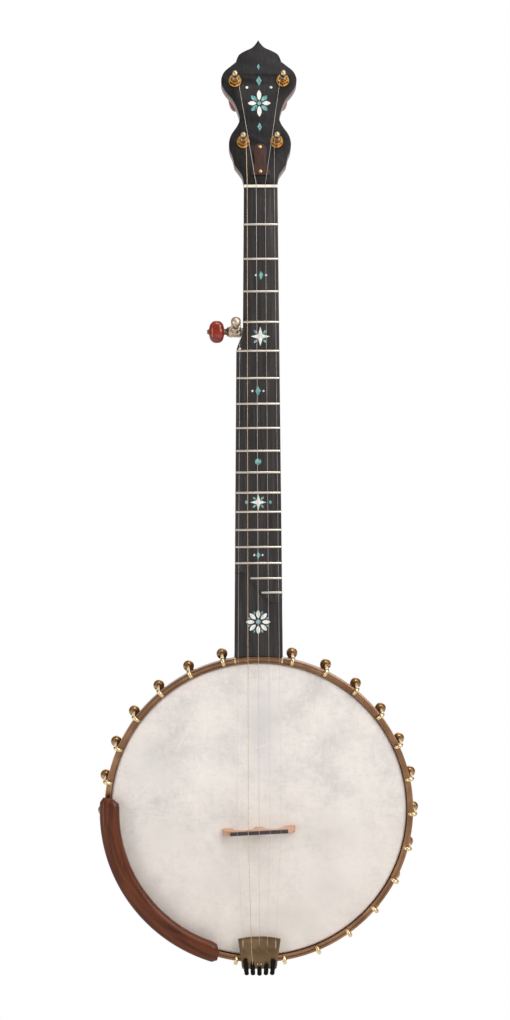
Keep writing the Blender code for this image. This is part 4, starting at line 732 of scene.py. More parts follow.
ARM_STEPS = 44
across_low = [
    (0.0, 0.0), (1.0, 0.0), (1.0, 0.35), (0.97, 0.62), (0.88, 0.84), (0.72, 0.96), (0.50, 1.0),
    (0.28, 0.97), (0.12, 0.88), (0.03, 0.68), (0.0, 0.40)]
arm_rings = []
for step in range(ARM_STEPS + 1):
    share = step / ARM_STEPS
    angle = ARM_START + (ARM_END - ARM_START) * share
    from_end = min(share, 1 - share) * abs(ARM_END - ARM_START) * 0.155
    round_end = min(1.0, from_end / 0.0095)
    tuck = 1 - math.sqrt(max(0.0, 1 - (1 - round_end) ** 2))
    inner = ARM_INNER + tuck * (ARM_OUTER - ARM_INNER) * 0.42
    outer = ARM_OUTER - max(0.0, 1 - from_end / 0.0030) ** 2 * 0.0030
    height = ARM_THICK * (0.62 + 0.38 * min(1.0, from_end / 0.0030) ** 0.5)
    ring = []
    for across, lift in across_low:
        radius = inner + (outer - inner) * across
        ring.append((radius * math.sin(angle), radius * math.cos(angle), ARM_BASE + height * lift))
    arm_rings.append(ring)


def lofted(name, rings):
    """A closed body through rings with as many corners each. No operator skins such rings."""
    body = bmesh.new()
    rings = [[body.verts.new(corner) for corner in ring] for ring in rings]
    for ring, following in zip(rings, rings[1:]):
        for i in range(len(ring)):
            j = (i + 1) % len(ring)
            body.faces.new((ring[i], ring[j], following[j], following[i]))
    body.faces.new(rings[0][::-1])
    body.faces.new(rings[-1])
    bmesh.ops.recalc_face_normals(body, faces=body.faces)
    piece = bpy.data.objects.new(name, bpy.data.meshes.new(name))
    body.to_mesh(piece.data)
    body.free()
    bpy.context.scene.collection.objects.link(piece)
    return piece


armrest = lofted("armrest_wood", arm_rings)
soften(armrest, 0.0008, 3, 50)
settle(armrest, POT, arm_wood, "instrument", "armrest", smooth=45)

clamp_side = [(0.1636, ARM_BASE + 0.0002), (0.1636, -0.0145), (0.1568, -0.0145), (0.1568, -0.0121),
              (0.1616, -0.0121), (0.1616, ARM_BASE + 0.0002)]
for number, span in enumerate((7, 11), start=1):
    between = (bracket_angles[-span] + bracket_angles[-span - 1]) / 2
    clamp = plate(f"armrest_clamp_{number}", clamp_side, -0.0045, 0.0045)
    soften(clamp, 0.0005, 2, 20)
    screw = rod("clamp_screw", 0.0018, -0.0172, -0.0140, 16)
    joined(fixed(clamp, SIDE_UP), fixed(screw, shift(0, 0.1592, 0)))
    settle(clamp, POT @ about("Z", -between), ring_brass, "instrument")


# --- Neck -----------------------------------------------------------------------------------
# One piece of walnut: a slim D-shaped shaft that steps out for the fifth string and sweeps down
# into the heel, which is coped to the rim. The headstock's core is its upper end, tilted back.

NECK = about("X", 88.5)
BOARD_THICK = 0.0060
SCALE = 0.667
NUT_BASS, NUT_TREBLE = -0.0140, 0.0207
HEEL_HALF = 0.0251
HEEL_START, HEEL_FOOT = 0.425, 0.487
FIFTH_STEP, FIFTH_STEP_END = 0.145, 0.169
PEG_DOWN, PEG_DEPTH = 0.1475, 0.0105
ACROSS_NECK = shift(0, -PEG_DOWN, -PEG_DEPTH) @ about("Y", 90)
PEG_BORE = 0.0061
NECK_TOP = -0.0063
HEAD_TILT = 16
HEADSTOCK = (NECK @ shift(0.00335, 0.0049, -0.0030) @ about("X", -HEAD_TILT)
             @ about("Z", 0.5))
CORE_TOP = -0.0028
TUNERS = ((0.01725, 0.0454), (0.02485, 0.1130), (-0.02485, 0.1130), (-0.01725, 0.0454))


def treble_edge(distance):
    return NUT_TREBLE + (HEEL_HALF - NUT_TREBLE) * distance / (SCALE * 0.72)


def bass_edge(distance):
    """The bass side steps out beside the fifth string's tuner."""
    wide = -treble_edge(distance)
    slim = NUT_BASS - (treble_edge(distance) - NUT_TREBLE)
    share = min(1.0, max(0.0, (distance - FIFTH_STEP) / (FIFTH_STEP_END - FIFTH_STEP)))
    return slim + (wide - slim) * share * share * (3 - 2 * share)


def straight_wood(name, dark, light, gloss=0.35, coat=0.35, fine=1.0):
    """Walnut with its grain along the neck, pores as short dark dashes."""
    finish = Finish(name, coat_weight=coat, coat_roughness=0.2, specular_ior_level=0.25)
    grain = finish.pattern((110 * fine, 110 * fine, 7), 5.0, 0.6, 0.5)
    figure = finish.pattern((18, 18, 34), 3.0, 0.5, 0.8)
    pores = finish.pattern((1100 * fine, 1100 * fine, 60), 2.0)
    tone = finish.ramp(grain, (0.26, dark), (0.50, light), (0.74, dark))
    tone = finish.mixed(tone, light, figure.between(0.5, 0.8) * 0.35)
    finish.set("Base Color", finish.mixed(tone, dark, pores.between(0.60, 0.74) * 0.6))
    finish.set("Roughness", gloss + pores * 0.16)
    return finish.bump(pores, 0.0001, 0.4)


neck_walnut = straight_wood("oiled_neck_walnut", colour(66, 42, 28), colour(116, 76, 50))
stations = [0.0, 0.02, 0.05, 0.09, 0.13] + [FIFTH_STEP + i * 0.002 for i in range(13)]
stations += [0.18, 0.22, 0.27, 0.32, 0.37, 0.40, 0.415]
stations += [HEEL_START + (HEEL_FOOT - HEEL_START) * i / 22 for i in range(23)] + [0.4930, 0.5050]
shaft_rings = []
for distance in stations:
    bass, treble = bass_edge(distance), treble_edge(distance)
    slim = 0.0145 + 0.0045 * min(1.0, distance / HEEL_START)
    sweep = min(1.0, max(0.0, (distance - HEEL_START) / (HEEL_FOOT - HEEL_START)))
    depth = slim + (0.0600 - slim) * (1 - math.sqrt(1 - sweep ** 2.4)) ** 0.9
    ring = []
    for i in range(33):
        turn = math.pi * i / 32
        across = math.copysign(abs(math.cos(turn)) ** 0.85, math.cos(turn))
        ring.append(((bass + treble) / 2 + (treble - bass) / 2 * across, -distance,
                     NECK_TOP - depth * math.sin(turn) ** 0.9))
    shaft_rings.append(ring)
shaft = fixed(lofted("neck_shaft", shaft_rings), NECK)
rim_cope = rod("rim_cope", RIM_RADIUS + 0.0004, -0.14, 0.05, 160)
hoop_cope = rod("hoop_cope", HOOP_OUTER + 0.0004, HOOP_BACK - 0.0004, 0.05, 160)
for cope in (rim_cope, hoop_cope):
    cope.matrix_world = POT
worm_bore = rod("worm_bore", PEG_BORE, -0.06, -0.0171, 32)
worm_bore.matrix_world = NECK @ ACROSS_NECK
cut_away(shaft, rim_cope, hoop_cope, worm_bore)


def through(points, steps):
    """A smooth line through given points."""
    ends = [2 * Vector(points[0]) - Vector(points[1])] + [Vector(p) for p in points]
    ends.append(2 * Vector(points[-1]) - Vector(points[-2]))
    line = []
    for before, start, end, after in zip(ends, ends[1:], ends[2:], ends[3:]):
        for step in range(steps):
            t = step / steps
            line.append(0.5 * (2 * start + (end - before) * t
                               + (2 * before - 5 * start + 4 * end - after) * t ** 2
                               + (3 * start - before - 3 * end + after) * t ** 3))
    return [tuple(point) for point in line] + [tuple(points[-1])]


CROWN = ((0.0, 0.1582), (0.0030, 0.1536), (0.0070, 0.1496), (0.0150, 0.1457), (0.0202, 0.1420),
         (0.0227, 0.1370), (0.0235, 0.1340))
LOBES = ((0.0235, 0.1340), (0.0284, 0.1299), (0.0355, 0.1236), (0.0389, 0.1163), (0.0387, 0.1096),
         (0.0350, 0.1020), (0.0276, 0.0925), (0.0228, 0.0815), (0.0206, 0.0712), (0.0232, 0.0632),
         (0.0294, 0.0537), (0.0320, 0.0450), (0.0313, 0.0366), (0.0286, 0.0297), (0.0266, 0.0206))
EARS = ((0.0266, 0.0206), (0.0227, 0.0150), (0.0190, 0.0090), (0.01735, 0.0))
half_outline = through(CROWN, 4)[:-1] + through(LOBES, 4)[:-1] + through(EARS, 4)
HEAD_OUTLINE = half_outline + [(-x, y) for x, y in reversed(half_outline[1:])]


def tuner_holes(low, high):
    return [fixed(rod("tuner_hole", 0.0050, low, high, 32), shift(x, y, 0)) for x, y in TUNERS]


core = plate("headstock_core", HEAD_OUTLINE, CORE_TOP - 0.0125, CORE_TOP)
cut_away(core, *tuner_holes(-0.03, 0.01))
soften(core, 0.0009, 3, 50)
volute = plate("volute", [
    (-0.0168, -0.0105), (0.0168, -0.0105), (0.0172, 0.0010), (0.0150, 0.0090), (0.0080, 0.0200),
    (0.0, 0.0250), (-0.0080, 0.0200), (-0.0150, 0.0090), (-0.0172, 0.0010)], -0.0175, -0.0040)
for vert in volute.data.vertices:
    if vert.co.z < -0.01:
        vert.co.x *= 0.55
        vert.co.y = -0.0105 + (vert.co.y + 0.0105) * 0.62
use(volute, "BEVEL", width=0.0030, segments=4, limit_method="ANGLE", angle_limit=math.radians(30))
settle(shaft, Matrix(), neck_walnut, "instrument", "neck", smooth=40)
settle(core, HEADSTOCK, neck_walnut, "instrument")
settle(volute, HEADSTOCK, neck_walnut, "instrument", smooth=50)


# --- Fingerboard ----------------------------------------------------------------------------
# A black ebony board glued on the neck. Below the last fret it is scooped down on a sloping
# curve for the picking hand, and its end is coped to the hoop.


def ebony_wood(name, dark, middle, light, coat):
    """Black wood with fine straight grain and short open pores."""
    finish = Finish(name, coat_weight=coat, coat_roughness=0.3, specular_ior_level=0.2)
    grain = finish.pattern((420, 420, 16), 5.0, 0.62, 0.3)
    pores = finish.pattern((1500, 1500, 90), 2.0)
    tone = finish.ramp(grain, (0.30, dark), (0.52, middle), (0.75, light))
    finish.set("Base Color", finish.mixed(tone, dark, pores.between(0.58, 0.74) * 0.7))
    finish.set("Roughness", 0.34 + pores * 0.14)
    return finish.bump(pores, 0.00006, 0.4)


ebony = ebony_wood("satin_board_ebony", colour(38, 34, 35), colour(52, 48, 48), colour(72, 66, 64),
                   0.05)
distances = [0.0, 0.141] + [FIFTH_STEP + i * 0.0015 for i in range(17)] + [0.30, 0.4950]
board_outline = [(treble_edge(d), -d) for d in (0.0, 0.25, 0.4950)]
board_outline += [(bass_edge(d), -d) for d in reversed(distances)]
board = plate("fingerboard_ebony", board_outline, -BOARD_THICK, 0.0)
SCOOP_TOP, SCOOP_FACE = -0.3953, -0.0030
scoop_line = [(-0.020 + 0.037 * share, SCOOP_TOP - 0.0325 * share ** 2 * (3 - 2 * share))
              for share in (i / 24 for i in range(25))]
scoop = plate("scoop", [(-0.045, -0.53), (0.045, -0.53), (0.045, -0.4278)] + scoop_line[::-1] +
              [(-0.045, SCOOP_TOP)], SCOOP_FACE, 0.02)
hoop_cope = rod("hoop_cope", HOOP_OUTER + 0.0004, -0.05, 0.06, 160)
hoop_cope.matrix_world = NECK.inverted() @ POT
barrel_cope = rod("barrel_cope", PEG_BORE, -0.06, -0.0171, 32)
barrel_cope.matrix_world = ACROSS_NECK
cut_away(board, scoop, hoop_cope, barrel_cope)
soften(board, 0.0004, 2, 50)
settle(board, NECK, ebony, "instrument", "fingerboard")


# --- Frets ----------------------------------------------------------------------------------
# Seventeen bars of nickel silver, domed on top and filed at the ends, and a small bone pip that
# stops the short fifth string beside the fifth fret.

fret_wire = worn_metal("fret_nickel", colour(224, 214, 200), colour(170, 156, 138),
                       colour(244, 238, 230), 0.20, 0.2)
bone = Finish("polished_bone", coat_weight=0.4, coat_roughness=0.15, roughness=0.35)
bone_cloud = bone.pattern((160, 160, 60), 3.0)
bone.set("Base Color", bone.ramp(bone_cloud, (0.3, colour(226, 214, 196)),
                                 (0.7, colour(240, 232, 220))))
bone.bump(bone_cloud, 0.00003, 0.3)


def fret_distance(fret):
    return SCALE * (1 - 2 ** (-fret / 12))


frets = []
for number in range(1, 18):
    down = fret_distance(number)
    low, high = bass_edge(down) + 0.0004, treble_edge(down) - 0.0004
    if number == 16:
        low = -0.0083
    if number == 17:
        low = 0.0032
    fret = rod(f"fret_{number:02d}", 0.00115, low, high, 20)
    soften(fret, 0.0003, 2, 60)
    frets.append(fixed(fret, shift(0, -down, 0) @ Matrix.Diagonal((1, 1, 0.92, 1))
                       @ about("Y", 90)))
fret_set = joined(frets[0], *frets[1:])
fret_set.name = fret_set.data.name = "fret_bars"
settle(fret_set, NECK, fret_wire, "instrument")
PIP_DOWN = 0.1652
PIP_X = bass_edge(PIP_DOWN) + 0.0030
pip = spun("fifth_string_pip", [(0.0, 0.0020), (0.0009, 0.0019), (0.0012, 0.0015),
                                (0.0014, -0.0008), (0.0, -0.0008)], 20)
settle(pip, NECK @ shift(PIP_X, -PIP_DOWN, 0), bone, "instrument")


# --- Inlays of the board --------------------------------------------------------------------
# Stars, diamonds and dots of mother-of-pearl and abalone, let into the ebony and sanded flush.
# They are plain traditional shapes at the usual marker frets.

pearl = Finish("white_pearl", roughness=0.25, coat_weight=0.6, coat_roughness=0.1)
pearl_wave = pearl.pattern((170, 170, 90), 3.0, 0.5, 1.5)
pearl.set("Base Color", pearl.ramp(pearl_wave, (0.32, colour(196, 206, 208)),
                                   (0.48, colour(236, 232, 222)), (0.60, colour(244, 240, 236)),
                                   (0.74, colour(214, 200, 208))))
pearl.set("Roughness", 0.2 + pearl_wave * 0.15)
abalone = Finish("green_abalone", roughness=0.22, coat_weight=0.7, coat_roughness=0.08)
abalone_wave = abalone.pattern((260, 260, 150), 4.0, 0.6, 2.2)
abalone_vein = abalone.pattern((700, 700, 300), 2.0, 0.5, 1.0)
abalone_tone = abalone.ramp(abalone_wave, (0.30, colour(46, 84, 112)), (0.44, colour(66, 146, 150)),
                            (0.54, colour(150, 200, 176)), (0.64, colour(96, 132, 168)),
                            (0.76, colour(150, 120, 160)))
abalone.set("Base Color", abalone.mixed(abalone_tone, colour(30, 46, 58),
                                        abalone_vein.between(0.60, 0.72) * 0.7))
abalone.set("Roughness", 0.2 + abalone_wave * 0.12)


def star(points, outer, inner, turn=0.0):
    """Corners of a star, or of a diamond where points is 2."""
    turns = [turn + math.pi * i / points for i in range(2 * points)]
    return [(reach * math.sin(angle), reach * math.cos(angle))
            for reach, angle in zip((outer, inner) * points, turns)]


def petal(length, width, start, turn, steps=14):
    """A leaf-shaped outline that points away from the middle."""
    side = [(width / 2 * math.sin(math.pi * i / steps) ** 0.8, start + length * i / steps)
            for i in range(steps + 1)]
    line = side + [(-x, y) for x, y in reversed(side[1:-1])]
    c, s = math.cos(turn), math.sin(turn)
    return [(x * c + y * s, -x * s + y * c) for x, y in line]


def inlay(name, outline, x, down, shell, place=NECK, face=0.0):
    piece = plate(name, [(x + px, py - down) for px, py in outline], face - 0.0006, face + 0.00012)
    settle(piece, place, shell, "instrument", smooth=30)


def mid_space(fret):
    return (fret_distance(fret) + fret_distance(fret - 1)) / 2


def dot(radius):
    angles = [math.tau * i / 24 for i in range(24)]
    return [(radius * math.cos(angle), radius * math.sin(angle)) for angle in angles]


def centre_x(down):
    return (bass_edge(down) + treble_edge(down)) / 2


for fret, size, shape in ((3, 0.0062, "diamond"), (5, 0.0100, "star"), (7, 0.0068, "diamond"),
                          (10, 0.0040, "dot"), (12, 0.0085, "star"), (15, 0.0050, "diamond")):
    down = mid_space(fret)
    x = centre_x(down)
    if shape == "diamond":
        inlay(f"marker_{fret}_diamond", star(2, size * 0.75, size * 0.42), x, down, abalone)
        for side in (-1, 1):
            inlay(f"marker_{fret}_point_{side + 2}", star(2, 0.0014, 0.0012),
                  x + side * size * 0.85, down, pearl)
    elif shape == "dot":
        inlay(f"marker_{fret}_dot", dot(size * 0.8), x, down, abalone)
    else:
        inlay(f"marker_{fret}_star", star(4, size, size * 0.32), x, down, pearl)
        for i in range(4):
            leaf = petal(size * 0.52, size * 0.26, size * 0.42, math.pi / 4 + i * math.pi / 2)
            inlay(f"marker_{fret}_leaf_{i}", leaf, x, down, abalone)
for side in (-1, 1):
    down = mid_space(12)
    inlay(f"marker_12_side_{side + 2}", star(2, 0.0022, 0.0017),
          centre_x(down) + side * 0.0125, down, abalone)

SCOOP_STAR = (-0.0003, 0.448)
for i in range(8):
    inlay(f"scoop_star_petal_{i}", petal(0.0088, 0.0042, 0.0038, math.pi / 4 * i), *SCOOP_STAR,
          pearl, face=SCOOP_FACE)
    inlay(f"scoop_star_tip_{i}", petal(0.0038, 0.0017, 0.0085, math.pi / 4 * (i + 0.5)),
          *SCOOP_STAR, abalone, face=SCOOP_FACE)
inlay("scoop_star_eye", dot(0.0024), *SCOOP_STAR, abalone, face=SCOOP_FACE)


# --- Headstock face -------------------------------------------------------------------------
# An ebony veneer glued over the walnut core, sawn to the same outline and drilled for the four
# tuners. A plain eight-petalled star of shell marks its middle, with diamonds in line and two dots.

face_ebony = ebony_wood("polished_face_ebony", colour(22, 20, 20), colour(33, 30, 30),
                        colour(45, 41, 41), 0.0)
veneer = plate("headstock_ebony", HEAD_OUTLINE, -0.0025, 0.0)
cut_away(veneer, *tuner_holes(-0.03, 0.01))
soften(veneer, 0.0005, 2, 50)
settle(veneer, HEADSTOCK, face_ebony, "instrument", "headstock_veneer")
HEAD_STAR = (0.0, -0.0880)
for i in range(8):
    far = 1.35 if i in (0, 4) else 1.0
    inlay(f"head_star_petal_{i}", petal(0.0088 * far, 0.0046, 0.0030, math.pi / 4 * i), *HEAD_STAR,
          pearl if i % 2 == 0 else abalone, place=HEADSTOCK)
inlay("head_star_eye", dot(0.0021), *HEAD_STAR, abalone, place=HEADSTOCK)
for name, y, size in (("low", 0.0620, 0.0046), ("high", 0.1130, 0.0056), ("top", 0.1285, 0.0034)):
    inlay(f"head_diamond_{name}", star(2, size, size * 0.5), 0.0, -y, abalone, place=HEADSTOCK)
for side in (-1, 1):
    inlay(f"head_dot_{side + 2}", dot(0.0014), side * 0.0125, -0.1055, pearl, place=HEADSTOCK)


# --- Nut ------------------------------------------------------------------------------------
# A strip of polished bone between the board and the headstock, rounded at the back, with a
# filed slot for each of the four long strings.

STRING_RADII = (0.000125, 0.00015, 0.000205, 0.00029, 0.000125)
NUT_XS = [0.0173 - 0.0279 * i / 3 for i in range(4)]
NUT_START, NUT_END, SLOT_HEIGHT = 0.0003, 0.0034, 0.0013
nut_side = [(NUT_START, -BOARD_THICK), (NUT_END, -BOARD_THICK), (NUT_END, 0.0002), (0.0030, 0.0010),
            (0.0022, 0.0016), (0.0010, 0.0018), (NUT_START, 0.0018)]
nut = plate("nut_bone", nut_side, NUT_BASS, NUT_TREBLE)
fixed(nut, SIDE_UP)
slots = []
for x, radius in zip(NUT_XS, STRING_RADII):
    slot = rod("nut_slot", radius + 0.0003, -0.004, 0.008, 16)
    slot.matrix_world = shift(x, 0, SLOT_HEIGHT) @ about("X", -90)
    opening = rod("nut_slot_mouth", radius + 0.0003, -0.004, 0.008, 4)
    above_slot = SLOT_HEIGHT + radius + 0.0004
    opening.matrix_world = shift(x, 0, above_slot) @ about("X", -90) @ about("Z", 45)
    slots += [slot, opening]
cut_away(nut, *slots)
soften(nut, 0.0003, 2, 55)
settle(nut, NECK, bone, "instrument", "nut")


# --- Truss rod cover ------------------------------------------------------------------------
# A bell-shaped plate of dark red wood over the pocket of the truss rod, held by two small brass
# screws.


def slotted(screw, reach, low, high, width, turn):
    """Saw the driver's slot across the head of a screw."""
    slot = rod("screw_slot", reach, low, high, 4)
    slot.scale = (1.0, width, 1.0)
    slot.rotation_euler.z = math.radians(turn)
    return cut_away(screw, slot)


cover_wood = straight_wood("polished_rosewood", colour(40, 25, 21), colour(72, 47, 40), 0.30, 0.0,
                           1.6)
BELL = ((0.0, 0.0430), (0.0052, 0.0411), (0.0072, 0.0358), (0.0062, 0.0270), (0.0064, 0.0205),
        (0.0098, 0.0122))
bell = through(BELL, 7) + [(0.0098, 0.0085)]
bell += [(-x, y) for x, y in reversed(bell[1:])]
cover = plate("truss_rod_cover_wood", bell, 0.0003, 0.0021)
soften(cover, 0.0006, 3, 40)
settle(cover, HEADSTOCK, cover_wood, "instrument", "truss_rod_cover")
for number, y in enumerate((0.0124, 0.0392), start=1):
    screw = spun(f"cover_screw_{number}", [(0.0, 0.0027), (0.0010, 0.00262), (0.0016, 0.0023),
                                           (0.0017, 0.0019), (0.0, 0.0019)], 24)
    slotted(screw, 0.0022, 0.00235, 0.004, 0.16, 40 * number)
    settle(screw, HEADSTOCK @ shift(0, y, 0), ring_brass, "instrument")


# --- Planetary tuners -----------------------------------------------------------------------
# Each has a round gear case behind the headstock, a bushing through it with a six-sided nut on
# the face, a post, and an amber knob on the case. Four turns of the knob turn the post once.

amber = Finish("amber_knob_plastic", roughness=0.16, coat_weight=0.3, coat_roughness=0.05)
amber_swirl = amber.noise(amber.coords(), 130.0, 4.0, 0.6, 1.4)
amber_mist = amber.noise(amber.coords(), 420.0, 2.0)
amber_tone = amber.ramp(amber_swirl, (0.30, colour(84, 12, 2)), (0.50, colour(138, 30, 3)),
                        (0.72, colour(172, 58, 10)))
amber.set("Base Color", amber.mixed(amber_tone, colour(52, 8, 2),
                                    amber_mist.between(0.60, 0.80) * 0.4))
amber.set("Roughness", 0.14 + amber_swirl * 0.10)
amber.bump(amber_mist, 0.00003, 0.2)
dark_metal = worn_metal("dark_collar_metal", colour(112, 90, 70), colour(50, 38, 30),
                        colour(176, 148, 116), 0.25, 0.4, 160.0)
post_gold = worn_metal("gilt_post_metal", colour(200, 172, 136), colour(146, 112, 76),
                       colour(232, 208, 172), 0.24, 0.2, 140.0)
screw_brass = worn_metal("old_screw_brass", colour(160, 88, 40), colour(92, 40, 18),
                         colour(196, 124, 64), 0.30, 0.5, 160.0)
nut_gold = worn_metal("gilt_nut_metal", colour(228, 178, 102), colour(140, 88, 40),
                      colour(250, 220, 150), 0.20, 0.45, 260.0)

CASE_TOP, CASE_LOW = -0.0156, -0.0416
POST_WAIST, STRING_AT = 0.0023, 0.0115
KNOB_NECK, KNOB_LENGTH = 0.0044, 0.0162
KNOB_DEEP, KNOB_WIDE = 0.0065, 0.0116


def post_shape(name, radius, waist, head_radius, low, top, at):
    """A domed post with a waist for the string, and the string's eye through it."""
    dome = [(head_radius * c, top - head_radius * 0.8 * (1 - s)) for c, s in arc(90, 0, -10)]
    dome[0] = (0.0, top)
    profile = dome + [(head_radius, at + 0.0034), (head_radius * 0.97, at + 0.0030),
                      (waist * 1.03, at + 0.0018), (waist, at + 0.0010), (waist, at - 0.0010),
                      (waist * 1.04, at - 0.0018), (radius, at - 0.0030), (radius, low), (0.0, low)]
    post = spun(name, profile, 40)
    eye = rod("string_eye", 0.0007, -0.01, 0.01, 16)
    eye.matrix_world = shift(0, 0, at) @ about("X", 90)
    return cut_away(post, eye)


def knob_pieces(number, place, body):
    """The grip, its metal neck and its end screw, which turn together."""
    nothing_selected()
    bpy.ops.mesh.primitive_uv_sphere_add(segments=48, ring_count=28, radius=1.0)
    grip = bpy.context.object
    grip.name = grip.data.name = f"knob_{number}_grip"
    for vert in grip.data.vertices:
        across, wide, along = [math.copysign(abs(c) ** 0.85, c) for c in vert.co]
        if along < 0:
            along = -abs(along) ** 0.8
        vert.co = (across * KNOB_DEEP, wide * KNOB_WIDE, KNOB_NECK + KNOB_LENGTH / 2 * (1 + along))
    stem = spun(f"knob_{number}_neck", [
        (0.0, 0.0001), (0.0046, 0.0001), (0.0050, 0.0006), (0.0049, 0.0014), (0.0036, 0.0020),
        (0.0030, 0.0032), (0.0034, 0.0046), (0.0036, 0.0075), (0.0, 0.0075)], 40)
    screw = spun(f"knob_{number}_screw", [
        (0.0, 0.0224), (0.0014, 0.02235), (0.0021, 0.0220), (0.0023, 0.0214), (0.0028, 0.0209),
        (0.0028, 0.0194), (0.0, 0.0194)], 32)
    slotted(screw, 0.0040, 0.0219, 0.03, 0.14, 30)
    settle(grip, place, amber, body, f"tuner_{number}_knob", smooth=60)
    settle(stem, place, dark_metal, body)
    settle(screw, place, screw_brass, body)


for number, (x, y) in enumerate(TUNERS, start=1):
    place = HEADSTOCK @ shift(x, y, 0)
    case = spun(f"tuner_{number}_case", [
        (0.0033, 0.0006), (0.0047, 0.0006), (0.0047, CASE_TOP), (0.0070, CASE_TOP),
        (0.0082, CASE_TOP - 0.0010), (0.0082, CASE_TOP - 0.0060), (0.0079, CASE_TOP - 0.0064),
        (0.0079, CASE_TOP - 0.0072), (0.0082, CASE_TOP - 0.0076), (0.0082, CASE_LOW + 0.0050),
        (0.0076, CASE_LOW + 0.0022), (0.0060, CASE_LOW + 0.0004), (0.0052, CASE_LOW),
        (0.0033, CASE_LOW), (0.0033, 0.0006)], 56)
    settle(case, place, nickel, "instrument", f"tuner_{number}_housing")
    bushing = rod(f"tuner_{number}_bushing_nut", 0.0064, 0.0008, 0.0056, 6, 0.0060)
    bore = spun("bushing_bore", [
        (0.0, -0.01), (0.0033, -0.01), (0.0033, 0.0046), (0.0040, 0.0056), (0.0040, 0.02),
        (0.0, 0.02)], 40)
    cut_away(bushing, bore)
    soften(bushing, 0.0004, 2, 30)
    washer = spun(f"tuner_{number}_washer", [
        (0.0048, 0.0003), (0.0067, 0.0003), (0.0067, 0.0007), (0.0064, 0.0010), (0.0048, 0.0010),
        (0.0048, 0.0003)], 40)
    settle(joined(bushing, washer), place, nut_gold, "instrument")
    post = post_shape(f"tuner_{number}_string_post", 0.0030, POST_WAIST, 0.0030, -0.0258, 0.0225,
                      STRING_AT)
    settle(post, place, post_gold, f"post_{number}", f"tuner_{number}_post")
    turn = (-24, 6, -8, 26)[number - 1]
    knob_place = (place @ shift(0, 0, CASE_LOW) @ about("X", 180)
                  @ about("Z", turn))
    knob_pieces(number, knob_place, f"knob_{number}")


# --- Fifth string tuner ---------------------------------------------------------------------
# A geared peg pressed into the side of the neck: a barrel across the neck, a boss that leans to
# the headstock with the post in it, and an amber knob on the end of the barrel.

WORM = NECK @ ACROSS_NECK
FIFTH_POST = NECK @ shift(-0.0226, -PEG_DOWN, -PEG_DEPTH) @ about("X", -35)
FIFTH_WAIST, FIFTH_STRING_AT = 0.0022, 0.0125
barrel = spun("fifth_tuner_barrel", [
    (0.0, -0.0300), (0.0046, -0.0300), (0.0055, -0.0296), (0.0058, -0.0288), (0.0058, -0.0262),
    (0.0055, -0.0259), (0.0055, -0.0252), (0.0058, -0.0249), (0.0058, -0.0180), (0.0052, -0.0174),
    (0.0042, -0.0172), (0.0042, -0.0060), (0.0, -0.0060)], 48)
settle(barrel, WORM, nickel, "instrument", "tuner_5_housing")
boss = spun("fifth_tuner_boss", [
    (0.0031, 0.0098), (0.0046, 0.0098), (0.0052, 0.0092), (0.0052, 0.0078), (0.0048, 0.0074),
    (0.0048, 0.0), (0.0031, 0.0), (0.0031, 0.0098)], 40)
settle(boss, FIFTH_POST, nickel, "instrument")
fifth_post = post_shape("fifth_tuner_post", 0.0026, FIFTH_WAIST, 0.0051, -0.0027, 0.0225,
                        FIFTH_STRING_AT)
settle(fifth_post, FIFTH_POST, nickel, "post_5", "tuner_5_post")
knob_pieces(5, NECK @ shift(-0.0300, -PEG_DOWN, -PEG_DEPTH) @ about("Y", -90),
            "knob_5")


# --- Strings --------------------------------------------------------------------------------
# Five steel wires, each with its loop end in a black fabric sleeve on the tailpiece, and wound
# round its post at the other end. The fourth is wrapped with bronze and runs over the plate. The
# others go round the plate's end and come up through its slots.

steel = worn_metal("string_steel_bright", colour(208, 200, 190), colour(160, 152, 142),
                   colour(232, 226, 218), 0.26, 0.2, 400.0)
wrapped = Finish("wrapped_string", metallic=1.0, roughness=0.28)
wrap_wave = wrapped.pattern((10, 10, 5200), 0.0)
wrapped.set("Base Color", wrapped.ramp(wrap_wave, (0.4, colour(176, 150, 118)),
                                       (0.6, colour(236, 216, 182))))
wrapped.set("Roughness", 0.22 + wrap_wave * 0.2)
sleeve_cloth = Finish("black_sleeve_cloth", roughness=0.9, specular_ior_level=0.15)
weave_a = sleeve_cloth.pattern((2600, 2600, 700), 1.0)
weave_b = sleeve_cloth.pattern((700, 700, 2600), 1.0)
weave = (weave_a + weave_b) * 0.5
sleeve_cloth.set("Base Color", sleeve_cloth.ramp(weave, (0.35, colour(6, 6, 6)),
                                                 (0.65, colour(26, 24, 23))))
sleeve_cloth.bump(weave, 0.0002, 0.8)

CLEAR = 0.0003
OVER_BRIDGE, OVER_PIP, OVER_NUT = 0.0006, 0.0022, 0.0012
SLEEVE_HEIGHT, SLEEVE_RADIUS = TAIL_TOP + CLEAR + 0.0023, 0.00255
COIL_STEPS, COIL_PITCH = 24, 2.15
SLEEVE_FRONTS = ((0.0150, 0.1560), (0.0072, 0.1609), (0.0, 0.1638), (-0.0072, 0.1609),
                 (-0.0150, 0.1560))
SLEEVE_REARS = ((0.0131, 0.1719), (0.0067, 0.1720), (0.0, 0.1725), (-0.0067, 0.1720),
                (-0.0131, 0.1719))

